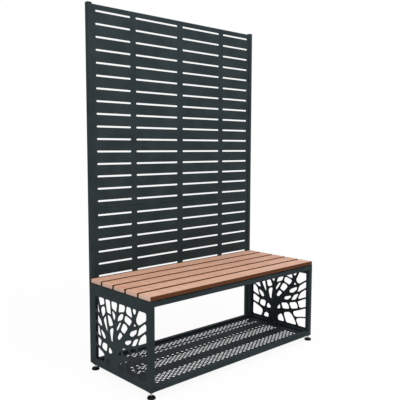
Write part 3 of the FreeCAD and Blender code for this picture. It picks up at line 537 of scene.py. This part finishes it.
@dataclass(frozen=True)
class MouldedPlastic:
    """Moulded nylon: near black, with a faint spark-eroded skin.

    Pits and dust are spots per metre, and the relief is in metres.
    """

    name: str
    shade: Shade
    roughness: float = 0.5
    rough_range: float = 0.12
    gloss: float = 0.1
    pit_spots: float = 2400.0
    dust_spots: float = 60.0
    dust_shade: int = 9
    relief: float = 0.00003

    def make(self) -> bpy.types.Material:
        """Build the material: fine pits, and dust-like changes of tone."""
        finish = Finish(self.name)
        vector, *_ = finish.place()
        pits = finish.noise(vector, self.pit_spots, detail=2.0)
        dust = finish.noise(vector, self.dust_spots, detail=3.0)
        pale = tuple(part + self.dust_shade for part in self.shade)
        colour = finish.ramp(dust, ((0.35, self.shade), (0.75, pale)))
        return finish.surface(
            pits, self.relief, Base_Color=colour, Specular_IOR_Level=self.gloss,
            Roughness=self.roughness + self.rough_range * dust)


class Closing(Enum):
    """How a grid of points closes."""

    SHEET = "open on both sides"
    CAPPED = "closed round its columns, with a face at its first and last row"
    RING = "closed round its columns and round its rows"


def grid_faces(rows: int, columns: int, closing: Closing, first: int = 0) -> Numbers:
    """Four-cornered faces of a grid of points.

    Args:
        rows: Points along the first parameter.
        columns: Points along the second one.
        closing: How the grid closes.
        first: Number of the grid's first point.

    Returns:
        One row of four point numbers for each face.
    """
    along = rows if closing is Closing.RING else rows - 1
    across = columns - 1 if closing is Closing.SHEET else columns
    i, j = np.meshgrid(np.arange(along), np.arange(across), indexing="ij")
    below, above = i * columns, (i + 1) % rows * columns
    following = (j + 1) % columns
    corners = (below + j, below + following, above + following, above + j)
    return first + np.stack([corner.ravel() for corner in corners], axis=1)


@dataclass
class Skin:
    """Points and faces of one new piece, gathered from several surfaces."""

    points: list[Numbers] = field(default_factory=list)
    faces: list[list[int]] = field(default_factory=list)
    count: int = 0

    def add(self, points: Numbers, closing: Closing = Closing.CAPPED) -> None:
        """Add a grid of points.

        Args:
            points: Rows by columns by 3.
            closing: How the grid closes.
        """
        rows, columns, _ = points.shape
        self.faces += grid_faces(rows, columns, closing, self.count).tolist()
        if closing is Closing.CAPPED:
            low = np.arange(columns)[::-1] + self.count
            high = np.arange(columns) + self.count + (rows - 1) * columns
            self.faces += [low.tolist(), high.tolist()]
        self.points.append(points.reshape(-1, 3))
        self.count += rows * columns

    def build(self, name: str, material: bpy.types.Material, body: str) -> bpy.types.Object:
        """Make the piece and let it ride on its body.

        Args:
            name: The piece's name.
            material: Its material.
            body: The CAD body that carries it.

        Returns:
            The new object.
        """
        mesh = bpy.data.meshes.new(name)
        mesh.from_pydata(np.concatenate(self.points).tolist(), [], self.faces)
        mesh.materials.append(material)
        mesh.polygons.foreach_set("use_smooth", np.ones(len(mesh.polygons), bool))
        mesh.set_sharp_from_angle(angle=CREASE)
        mesh.update()
        piece = bpy.data.objects.new(name, mesh)
        bpy.context.scene.collection.objects.link(piece)
        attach(piece, body)
        LOG.info("%s: %d faces on %s", name, len(self.faces), body)
        return piece


class Axis(Enum):
    """Directions that a turned piece's axis may have."""

    UP = (0, 0, 1)
    DOWN = (0, 0, -1)
    LEFT = (-1, 0, 0)
    RIGHT = (1, 0, 0)
    FRONT = (0, -1, 0)
    BACK = (0, 1, 0)

    @property
    def number(self) -> int:
        """0 for a direction along X, 1 for Y and 2 for Z."""
        return next(i for i, part in enumerate(self.value) if part)


def circle(along: Numbers, side: Numbers, columns: int) -> Numbers:
    """Unit vectors that turn once round an axis.

    Args:
        along: The axis, of length 1.
        side: Where the first one points, square to the axis.
        columns: How many there are.

    Returns:
        One row for each vector.
    """
    across = np.cross(along, side)
    turn = np.linspace(0, 2 * np.pi, columns, endpoint=False)
    return np.cos(turn)[:, None] * side + np.sin(turn)[:, None] * across


def turned(heights: Numbers, radius: Numbers, foot: Iterable[float], axis: Axis = Axis.UP) -> Numbers:
    """A surface round an axis.

    A point lies at the given radius from the axis and at its row's height along it. It
    turns once round as the second parameter runs.

    Args:
        heights: Height of each row.
        radius: Radius of each point, rows by columns.
        foot: Where the axis starts.
        axis: Where it points.

    Returns:
        Points, rows by columns by 3.
    """
    along = np.array(axis.value, float)
    side = np.array((0.0, 0.0, 1.0) if along[2] == 0 else (1.0, 0.0, 0.0))
    ring = circle(along, side, radius.shape[1])
    return np.asarray(foot, float) + heights[:, None, None] * along + radius[:, :, None] * ring


def corner_reach(half_flats: float) -> float:
    """Distance from a hexagon's middle to its corners, from half its width across flats."""
    return half_flats / math.cos(math.pi / 6)


def hexagon(half_flats: float, columns: int) -> Numbers:
    """Radius of a hexagon at each turn, with a corner at the first one.

    It is half the width over the cosine of the angle from the middle of the nearest flat.
    """
    sixth = np.pi / 3
    turn = np.linspace(0, 2 * np.pi, columns, endpoint=False)
    return half_flats / np.cos(turn % sixth - sixth / 2)


def chamfered_hexagon(
    half_flats: float, height: float, chamfer: float, halfway: float, columns: int
) -> tuple[Numbers, Numbers]:
    """A hexagonal prism whose corners are cut by a cone at both ends.

    Args:
        half_flats: Half its width across flats.
        height: Its height.
        chamfer: Height of the cut at a corner.
        halfway: Height of the row of points on the cut.
        columns: Points round the axis.

    Returns:
        Height of each row, and the radii, rows by columns.
    """
    level = np.array((0.0, halfway, chamfer, height - chamfer, height - halfway, height))
    cone = corner_reach(half_flats) - chamfer + np.minimum(level, height - level)
    return level, np.minimum(hexagon(half_flats, columns), cone[:, None])


def thread(heights: Numbers, root: float, crest: float, pitch: float, columns: int) -> Numbers:
    """Radii of a thread: a triangle wave of the height over the pitch less the share of a turn.

    Args:
        heights: Height of each row.
        root: Smallest radius.
        crest: Largest radius.
        pitch: Climb of one turn.
        columns: Points round the axis.

    Returns:
        Radii, rows by columns.
    """
    turn = np.arange(columns) / columns
    wave = np.abs((heights[:, None] / pitch - turn) % 1 * 2 - 1)
    return root + (crest - root) * wave


@dataclass
class Workshop:
    """The materials, made once each."""

    frame_coat: bpy.types.Material
    shelf_coat: bpy.types.Material
    wood: bpy.types.Material
    zinc: bpy.types.Material
    black: bpy.types.Material
    foot: bpy.types.Material

    def of(self, slot: Slot) -> bpy.types.Material:
        """The material of one of the record's finishes."""
        return {
            Slot.FRAME: self.frame_coat,
            Slot.SHELF: self.shelf_coat,
            Slot.WOOD: self.wood,
            Slot.ZINC: self.zinc,
            Slot.BLACK: self.black,
            Slot.FOOT: self.foot,
        }[slot]


@dataclass(frozen=True)
class Stud:
    """A foot's stud: collar, neck, chamfered hexagon and a threaded shank."""

    collar_radius: float = 0.0055
    collar_height: float = 0.005
    collar_chamfer: float = 0.0005
    neck_radius: float = 0.0038
    neck_top: float = 0.0001
    thread_radius: float = 0.004
    thread_root: float = 0.0035
    thread_pitch: float = 0.00125
    thread_start: float = 0.0002
    tip_height: float = 0.0008
    tip_radius: float = 0.0029
    rows_per_turn: int = 6
    hex_half_flats: float = 0.0065
    hex_height: float = 0.006
    hex_chamfer: float = 0.0011
    hex_halfway: float = 0.0005
    hex_to_leg: float = 0.0002
    columns: int = 48

    def points(self, foot: Numbers, low: float, high: float, leg_low: float) -> Numbers:
        """The stud, turned about its axis.

        Args:
            foot: Middle of the pad's underside.
            low: Underside of the collar.
            high: Top of the shank.
            leg_low: Underside of the leg.

        Returns:
            Points of the surface.
        """
        columns, neck = self.columns, self.neck_radius
        collar, chamfer = self.collar_radius, self.collar_chamfer
        collar_high = low + self.collar_height
        hex_high = leg_low - self.hex_to_leg
        hex_low = hex_high - self.hex_height
        level, hex_radii = chamfered_hexagon(
            self.hex_half_flats, self.hex_height, self.hex_chamfer, self.hex_halfway, columns)
        plain = ((low, collar - chamfer), (low + chamfer, collar),
                 (collar_high - chamfer, collar), (collar_high, collar - chamfer),
                 (collar_high, neck), (hex_low - self.neck_top, neck), (hex_low, neck))
        turns = (high - hex_high - (self.thread_start + self.tip_height)) / self.thread_pitch
        climb = np.linspace(
            hex_high + self.thread_start, high - self.tip_height, int(turns * self.rows_per_turn))
        heights = np.concatenate((
            [height for height, _ in plain], hex_low + level, [hex_high], climb, [high]))
        radii = np.concatenate((
            np.repeat([[radius] for _, radius in plain], columns, axis=1),
            hex_radii,
            np.full((1, columns), neck),
            thread(climb, self.thread_root, self.thread_radius, self.thread_pitch, columns),
            np.full((1, columns), self.tip_radius),
        ))
        return turned(heights, radii, foot)


@dataclass(frozen=True)
class Pad:
    """A moulded foot pad: a ribbed rim, a sloping flank and a flat top with a lipped mouth."""

    rim_height: float = 0.007
    neck_radius: float = 0.016
    mouth_radius: float = 0.0043
    flank_shares: tuple[float, ...] = (0.1, 0.3, 0.5, 0.7, 0.86)
    flank_power: float = 0.8
    flank_inset: float = 0.001
    pocket_gap: float = 0.0004
    pocket_headroom: float = 0.0005
    pocket_drop: float = 0.0002
    rib_count: int = 36
    rib_columns: int = 6
    rib_depth: float = 0.0006
    rib_squareness: float = 1.6

    def points(self, foot: Numbers, radius: float, height: float, stud: Stud, stud_low: float) -> Numbers:
        """The pad, with a pocket for the stud's collar, turned about its axis.

        Args:
            foot: Middle of its underside.
            radius: Radius of its rim.
            height: Its height.
            stud: The stud that turns in it.
            stud_low: Underside of the stud's collar.

        Returns:
            Points of the surface.
        """
        rim, neck, mouth, shoulder = radius, self.neck_radius, self.mouth_radius, self.rim_height
        pocket = stud.collar_radius + self.pocket_gap
        pocket_top = stud_low + stud.collar_height + self.pocket_headroom
        start = rim - self.flank_inset
        slope = rim - neck - self.flank_inset
        flank = [(shoulder + share * (height - shoulder), start - slope * share ** self.flank_power, 0)
                 for share in self.flank_shares]
        # Height, radius and how much of the ribs shows, from the underside to the pocket.
        rows = [
            (0.0002, rim - 0.0014, 0), (0.0, rim - 0.0012, 0), (0.0, rim - 0.0008, 0),
            (0.0006, rim - 0.0002, 0), (0.0012, rim, 0.3), (0.0018, rim, 1), (shoulder - 0.0016, rim, 1),
            (shoulder - 0.0009, rim - 0.0001, 0.3), (shoulder - 0.0002, rim - 0.0006, 0), *flank,
            (height - 0.0002, neck - 0.0003, 0), (height, neck - 0.001, 0), (height, mouth + 0.0014, 0),
            (height - 0.0004, mouth + 0.0006, 0), (height - 0.001, mouth, 0),
            (pocket_top, mouth, 0), (pocket_top, pocket, 0), (stud_low - self.pocket_drop, pocket, 0),
        ]
        heights, radii, ribbed = (np.array(column, float) for column in zip(*rows))
        turn = np.linspace(0, 2 * np.pi, self.rib_count * self.rib_columns, endpoint=False)
        ribs = np.clip(np.cos(turn * self.rib_count) * self.rib_squareness, -1, 1) * 0.5 - 0.5
        return turned(heights, radii[:, None] + ribbed[:, None] * ribs[None, :] * self.rib_depth, foot)


@dataclass(frozen=True)
class Feet:
    """The four levelling feet."""

    pad: Pad = Pad()
    stud: Stud = Stud()

    def make(self, shop: Workshop) -> None:
        """Replace each plain pad and stud by its turned piece."""
        for end, side in product(("front", "rear"), ("left", "right")):
            where = f"{end}_{side}"
            pad_low, pad_high = (np.array(corner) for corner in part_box(f"foot_pad_{where}"))
            stud_low, stud_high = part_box(f"foot_stud_{where}")
            foot = (pad_low + pad_high) / 2
            foot[2] = pad_low[2]
            pad = Skin()
            pad.add(self.pad.points(
                foot, (pad_high[0] - pad_low[0]) / 2, pad_high[2] - pad_low[2], self.stud, stud_low[2]))
            piece = pad.build(f"moulded_pad_{where}", shop.foot, f"pad_{where}")
            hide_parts(f"foot_pad_{where}")
            stud = Skin()
            stud.add(self.stud.points(foot, stud_low[2], stud_high[2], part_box(f"leg_{where}")[0][2]))
            piece = stud.build(f"threaded_stud_{where}", shop.zinc, f"stud_{where}")
            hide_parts(f"foot_stud_{where}")


@dataclass(frozen=True)
class ButtonScrew:
    """A screw with a domed head and a hexagonal socket."""

    shank: float
    pitch: float
    head: float
    head_height: float
    socket_half_flats: float
    root_share: float = 0.86
    tip_share: float = 0.8
    tip_height: float = 0.0008
    thread_end: float = 0.0012
    neck_height: float = 0.0008
    head_edge: float = 0.0003
    head_inset: float = 0.0002
    head_flat: float = 0.0005
    socket_lip: float = 0.0002
    socket_floor_share: float = 0.35
    columns: int = 24
    dome_rows: int = 7
    rows_per_turn: int = 4

    def points(self, seat: Numbers, length: float, axis: Axis) -> Numbers:
        """The screw, turned about its axis.

        The head's dome is a quarter of an ellipse between its edge and the flat round the
        socket. The shank carries its thread down to a short cone.

        Args:
            seat: Middle of the head's underside.
            length: Shank under the head.
            axis: Where the head points.

        Returns:
            Points of the surface.
        """
        columns, root = self.columns, self.shank * self.root_share
        top, edge = self.head_height, self.head_edge
        flat = corner_reach(self.socket_half_flats) + self.head_flat
        turns = (length - (self.tip_height + self.thread_end)) / self.pitch
        climb = np.linspace(-length + self.tip_height, -self.thread_end, int(turns * self.rows_per_turn))
        rise = np.linspace(0, np.pi / 2, self.dome_rows)
        dome = flat + (self.head - flat) * np.cos(rise)
        socket = hexagon(self.socket_half_flats, columns)
        heights = np.concatenate((
            [-length], climb, [-self.neck_height, 0.0, 0.0], edge + (top - edge) * np.sin(rise),
            [top - self.socket_lip, top * self.socket_floor_share]))
        plain = np.concatenate(([root, self.shank, self.head - self.head_inset], dome))
        radii = np.concatenate((
            np.full((1, columns), root * self.tip_share),
            thread(climb, root, self.shank, self.pitch, columns),
            np.repeat(plain[:, None], columns, axis=1),
            np.stack((socket, socket)),
        ))
        return turned(heights, radii, seat, axis)


@dataclass(frozen=True)
class HexNut:
    """A nut with chamfered corners."""

    half_flats: float
    height: float
    bore: float
    chamfer: float = 0.001
    halfway: float = 0.0004
    bore_inset: float = 0.0004
    bore_chamfer: float = 0.0005
    columns: int = 48

    def points(self, foot: Numbers, axis: Axis) -> Numbers:
        """The nut, turned about its axis: a hexagon cut by a cone at both ends, and its bore.

        Args:
            foot: Middle of its first face.
            axis: Where its second face lies.

        Returns:
            Points of the surface, closed round their rows.
        """
        level, outside = chamfered_hexagon(
            self.half_flats, self.height, self.chamfer, self.halfway, self.columns)
        widening = np.array([[self.bore_inset], [0.0], [0.0], [self.bore_inset]])
        inside = np.repeat(self.bore + widening, self.columns, axis=1)
        heights = np.concatenate((
            level, [self.height, self.height - self.bore_chamfer, self.bore_chamfer, 0.0]))
        return turned(heights, np.concatenate((outside, inside)), foot, axis)


@dataclass(frozen=True)
class Fasteners:
    """The screws, bolts and nuts that hold the boards, the shelf and the screen."""

    frame: Mapping[str, Any]
    shop: Workshop
    small: ButtonScrew = ButtonScrew(0.0025, 0.0008, 0.00475, 0.003, 0.0015)
    joint: ButtonScrew = ButtonScrew(0.003, 0.001, 0.0055, 0.0033, 0.002)
    post: ButtonScrew = ButtonScrew(0.004, 0.00125, 0.007, 0.0044, 0.0025)
    joint_nut: HexNut = HexNut(0.005, 0.005, 0.0031)
    post_nut: HexNut = HexNut(0.0065, 0.0065, 0.0041)
    row_gap: float = 0.06

    def spans(self, node: str) -> list[list[Pair]]:
        """Where the node's pieces stand in their rows.

        Args:
            node: A CAD node that groups equal pieces.

        Returns:
            For X, Y and Z, the lowest and highest number of each row of pieces.
        """
        mesh = self.frame["nodes"][node].data
        flat = np.empty(len(mesh.vertices) * 3)
        mesh.vertices.foreach_get("co", flat)
        rows = []
        for values in flat.reshape(-1, 3).round(6).T:
            ordered = np.unique(values)
            groups = np.split(ordered, np.flatnonzero(np.diff(ordered) > self.row_gap) + 1)
            rows.append([(float(group[0]), float(group[-1])) for group in groups])
        return rows

    def screws(self, node: str, kind: ButtonScrew, *heads: Axis) -> None:
        """Replace a node of screws.

        Args:
            node: The CAD node.
            kind: Its screws.
            heads: Where the heads of each row along their axis point.
        """
        rows = self.spans(node)
        along = heads[0].number
        skin = Skin()
        for axis, (low, high) in zip(heads, rows[along], strict=True):
            forward = axis.value[along] > 0
            seat = high - kind.head_height if forward else low + kind.head_height
            places = [[(first + last) / 2 for first, last in row] for row in rows]
            places[along] = [seat]
            for place in product(*places):
                skin.add(kind.points(np.array(place), high - low - kind.head_height, axis))
        piece = skin.build(f"turned_{node}", self.shop.zinc, "root")
        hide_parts(node)

    def nuts(self, node: str, kind: HexNut, axis: Axis) -> None:
        """Replace a node of nuts, whose axis points along the given direction."""
        places = [[low if i == axis.number else (low + high) / 2 for low, high in row]
                  for i, row in enumerate(self.spans(node))]
        skin = Skin()
        for place in product(*places):
            skin.add(kind.points(np.array(place), axis), Closing.RING)
        piece = skin.build(f"turned_{node}", self.shop.zinc, "root")
        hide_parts(node)

    def make(self) -> None:
        """Replace every plain screw, bolt and nut."""
        self.screws("seat_screws", self.small, Axis.DOWN)
        self.screws("shelf_screws", self.small, Axis.BACK, Axis.FRONT)
        self.screws("panel_screws_left", self.small, Axis.RIGHT)
        self.screws("panel_screws_right", self.small, Axis.LEFT)
        self.screws("panel_joint_bolts", self.joint, Axis.UP)
        self.screws("post_bolts", self.post, Axis.BACK)
        self.nuts("panel_joint_nuts", self.joint_nut, Axis.UP)
        self.nuts("post_nuts", self.post_nut, Axis.BACK)


@dataclass(frozen=True)
class Welds:
    """Small rippled beads in the inner corners of the frame."""

    radius: float = 0.0019
    ripple: float = 0.0022
    ripple_share: float = 0.09
    rows_per_ripple: int = 6
    fewest_rows: int = 14
    columns: int = 12
    bluntness: int = 9
    end_share: float = 0.004
    oblique: Place = (0.36, 0.48, 0.8)
    inset: float = 0.002
    tack: float = 0.016
    tacks: int = 4

    def bead(self, start: Numbers, end: Numbers) -> Numbers:
        """A bead between two points.

        Its radius is that of a long blunt ellipse, moved by a small sine for the ripples.

        Args:
            start: Middle of its first end.
            end: Middle of its last end.

        Returns:
            Points of the surface.
        """
        run = end - start
        length = float(np.linalg.norm(run))
        share = np.linspace(-1, 1, max(self.fewest_rows, int(length / self.ripple * self.rows_per_ripple)))
        blunt = np.sqrt(np.clip(1 - np.abs(share) ** self.bluntness, self.end_share, None))
        ripples = self.ripple_share * np.sin(share * length * np.pi / self.ripple)
        radius = self.radius * blunt * (1 + ripples)
        along = run / length
        side = np.cross(along, self.oblique)
        side /= np.linalg.norm(side)
        middle = start + (share[:, None] + 1) / 2 * run
        return middle[:, None, :] + radius[:, None, None] * circle(along, side, self.columns)

    def rail_beads(self) -> list[tuple[Numbers, Numbers]]:
        """Lines where the rails' inner faces meet the legs: across the tube, at each rail's ends."""
        lines = []
        for level in ("bottom", "top"):
            for place in ("front", "rear", "left", "right"):
                low, high = (np.array(corner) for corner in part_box(f"rail_{level}_{place}"))
                height = high[2] if level == "bottom" else low[2]
                along = 0 if place in ("front", "rear") else 1
                across = 1 - along
                for end in (low[along], high[along]):
                    line = np.full((2, 3), height)
                    line[:, along] = end
                    line[:, across] = low[across] + self.inset, high[across] - self.inset
                    lines.append((line[0], line[1]))
        return lines

    def sheet_tacks(self) -> list[tuple[Numbers, Numbers]]:
        """Short lines round each side sheet, where its inner face meets the tubes."""
        lines = []
        for side, sign in (("left", -1), ("right", 1)):
            low, high = (np.array(corner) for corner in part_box(f"side_panel_{side}"))
            x = high[0] if sign < 0 else low[0]
            shares = (np.arange(self.tacks) + 0.5) / self.tacks
            for across, along in ((1, 2), (2, 1)):
                for edge in (low[across], high[across]):
                    for share in shares:
                        middle = low[along] + share * (high[along] - low[along])
                        line = np.full((2, 3), x)
                        line[:, across] = edge
                        line[:, along] = middle - self.tack / 2, middle + self.tack / 2
                        lines.append((line[0], line[1]))
        return lines

    def make(self, shop: Workshop) -> None:
        """Lay all the beads, as one piece for the frame and one for the sheets."""
        seams = {"frame_weld_beads": self.rail_beads(), "sheet_weld_tacks": self.sheet_tacks()}
        for name, lines in seams.items():
            skin = Skin()
            for start, end in lines:
                skin.add(self.bead(start, end))
            skin.build(name, shop.frame_coat, "root")


@dataclass(frozen=True)
class Lamp:
    """A square soft lamp: its side in metres, its power in watts, and where it hangs."""

    name: str
    side: float
    power: float
    place: Place

    def hang(self, target: Place) -> None:
        """Hang the lamp so that it looks at the target."""
        light = bpy.data.lights.new(self.name, "AREA")
        light.shape = "SQUARE"
        light.size = self.side
        light.energy = self.power
        lamp = bpy.data.objects.new(self.name, light)
        lamp.location = self.place
        gaze = Vector(target) - Vector(self.place)
        lamp.rotation_euler = gaze.to_track_quat("-Z", "Y").to_euler()
        bpy.context.scene.collection.objects.link(lamp)


@dataclass(frozen=True)
class Studio:
    """Floor, background, lamps and camera.

    The camera's angles are in degrees and its focal length is in pixels of the photograph.
    """

    eye: Place = (-2.1143, -2.21625, 1.14297)
    yaw: float = 42.773
    pitch: float = 5.381
    roll: float = 0.1465
    focal_pixels: float = 566.74
    frame_pixels: float = 400.0
    film: float = 36.0
    floor_half: float = 45.0
    floor_points: int = 13
    floor_height: float = -0.0002
    floor_shade: Shade = (243, 243, 243)
    floor_roughness: float = 0.9
    floor_glow: float = 0.93
    floor_near: float = 1.2
    floor_far: float = 3.5
    world_light: float = 0.62
    world_seen: float = 1.0
    target: Place = (0.0, 0.0, 0.7)
    lamps: tuple[Lamp, ...] = (
        Lamp("top_lamp", 2.4, 95.0, (-0.4, -0.6, 3.7)),
        Lamp("front_lamp", 2.6, 10.0, (-0.6, -3.6, 1.8)),
    )

    def camera(self) -> None:
        """Stand the camera where the photograph was taken from."""
        yaw, pitch, roll = (math.radians(angle) for angle in (self.yaw, self.pitch, self.roll))
        ahead = Vector((math.sin(yaw) * math.cos(pitch), math.cos(yaw) * math.cos(pitch), -math.sin(pitch)))
        right = Vector((math.cos(yaw), -math.sin(yaw), 0.0))
        above = right.cross(ahead)
        side = right * math.cos(roll) + above * math.sin(roll)
        top = above * math.cos(roll) - right * math.sin(roll)
        lens = bpy.data.cameras.new("camera")
        lens.sensor_width = self.film
        lens.lens = self.film * self.focal_pixels / self.frame_pixels
        camera = bpy.data.objects.new("camera", lens)
        turn = Matrix((side, top, -ahead)).transposed().to_4x4()
        camera.matrix_world = Matrix.Translation(self.eye) @ turn
        bpy.context.scene.collection.objects.link(camera)
        bpy.context.scene.camera = camera

    def seen(self, tree: bpy.types.NodeTree) -> bpy.types.NodeSocket:
        """1 for rays from the camera, from a gloss or through glass, else 0."""
        path = tree.nodes.new("ShaderNodeLightPath")
        seen = path.outputs["Is Camera Ray"]
        for name in ("Is Glossy Ray", "Is Transmission Ray"):
            either = tree.nodes.new("ShaderNodeMath")
            either.operation = "MAXIMUM"
            tree.links.new(seen, either.inputs[0])
            tree.links.new(path.outputs[name], either.inputs[1])
            seen = either.outputs[0]
        return seen

    def floor(self) -> None:
        """A plain pale floor: part of it glows white, so that it meets the background."""
        finish = Finish("studio_floor")
        finish.surface(
            Base_Color=linear(self.floor_shade), Roughness=self.floor_roughness, Specular_IOR_Level=0.0)
        glow = finish.node("ShaderNodeEmission", None, {"Color": WHITE, "Strength": 1.0})
        _, x, y, _ = finish.place()
        far = (x * x + y * y).root().step(self.floor_near, self.floor_far)
        seen = Reading(finish, self.seen(finish.tree))
        share = seen * (self.floor_glow + (1 - self.floor_glow) * far)
        mix = finish.node(
            "ShaderNodeMixShader", None, {0: share, 1: finish.shader.outputs[0], 2: glow.outputs[0]})
        finish.feed(finish.output.inputs["Surface"], mix.outputs[0])
        count = self.floor_points
        side = np.linspace(-self.floor_half, self.floor_half, count)
        across, deep = np.meshgrid(side, side, indexing="ij")
        points = np.stack([across, deep, np.full_like(across, self.floor_height)], axis=-1)
        mesh = bpy.data.meshes.new("floor")
        mesh.from_pydata(
            points.reshape(-1, 3).tolist(), [], grid_faces(count, count, Closing.SHEET).tolist())
        mesh.materials.append(finish.material)
        floor = bpy.data.objects.new("floor", mesh)
        bpy.context.scene.collection.objects.link(floor)

    def background(self) -> None:
        """White where it is seen, and a plain grey light elsewhere."""
        world = bpy.data.worlds.new("studio")
        bpy.context.scene.world = world
        world.use_nodes = True
        nodes, links = world.node_tree.nodes, world.node_tree.links
        nodes.clear()
        mix = nodes.new("ShaderNodeMixShader")
        for index, strength in ((1, self.world_light), (2, self.world_seen)):
            light = nodes.new("ShaderNodeBackground")
            light.inputs["Color"].default_value = WHITE
            light.inputs["Strength"].default_value = strength
            links.new(light.outputs[0], mix.inputs[index])
        links.new(self.seen(world.node_tree), mix.inputs[0])
        output = nodes.new("ShaderNodeOutputWorld")
        links.new(mix.outputs[0], output.inputs["Surface"])

    def make(self) -> None:
        """Set the stage."""
        bpy.context.scene.view_settings.view_transform = "Standard"
        self.camera()
        self.floor()
        self.background()
        for lamp in self.lamps:
            lamp.hang(self.target)


@dataclass(frozen=True)
class ScreenBench:
    """The whole object: which node takes which finish, and its added pieces."""

    frame: Mapping[str, Any]
    shop: Workshop

    def dress(self) -> None:
        """Give each CAD node the material of its finish in the record."""
        finishes = {part["node"]: Slot(part["material_slot"]) for part in self.frame["record"]["subparts"]}
        for node, piece in self.frame["nodes"].items():
            material = self.shop.of(finishes[node])
            if not piece.material_slots:
                piece.data.materials.append(material)
            for place in piece.material_slots:
                place.material = material
        LOG.info("%d nodes dressed", len(finishes))

    def make(self) -> None:
        """Dress the solids, then add the turned pieces and the welds."""
        self.dress()
        Feet().make(self.shop)
        Fasteners(self.frame, self.shop).make()
        Welds().make(self.shop)


def make_boards() -> OiledBoards:
    """The boards' finish, fitted to the boards of the frame."""
    low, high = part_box("seat_slat_1")
    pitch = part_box("seat_slat_2")[0][1] - low[1]
    return OiledBoards("oiled_boards", low[1], pitch, (high[1] - low[1]) / 2, low[2], high[2], high[0])


def make_workshop() -> Workshop:
    """Make every material once."""
    return Workshop(
        frame_coat=PowderCoat("anthracite_coat", (34, 43, 46), (44, 54, 57)).make(),
        shelf_coat=PowderCoat("anthracite_shelf_coat", (32, 40, 45), (41, 50, 56)).make(),
        wood=make_boards().make(),
        zinc=ZincPlate("zinc_plate").make(),
        black=MouldedPlastic("black_plug", (9, 10, 11)).make(),
        foot=MouldedPlastic("black_foot", (3, 3, 4)).make(),
    )


def main() -> None:
    """Load the frame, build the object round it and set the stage."""
    logging.basicConfig(level=logging.INFO, format="%(name)s: %(message)s")
    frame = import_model()
    ScreenBench(frame, make_workshop()).make()
    Studio().make()


if __name__ == "__main__":
    main()
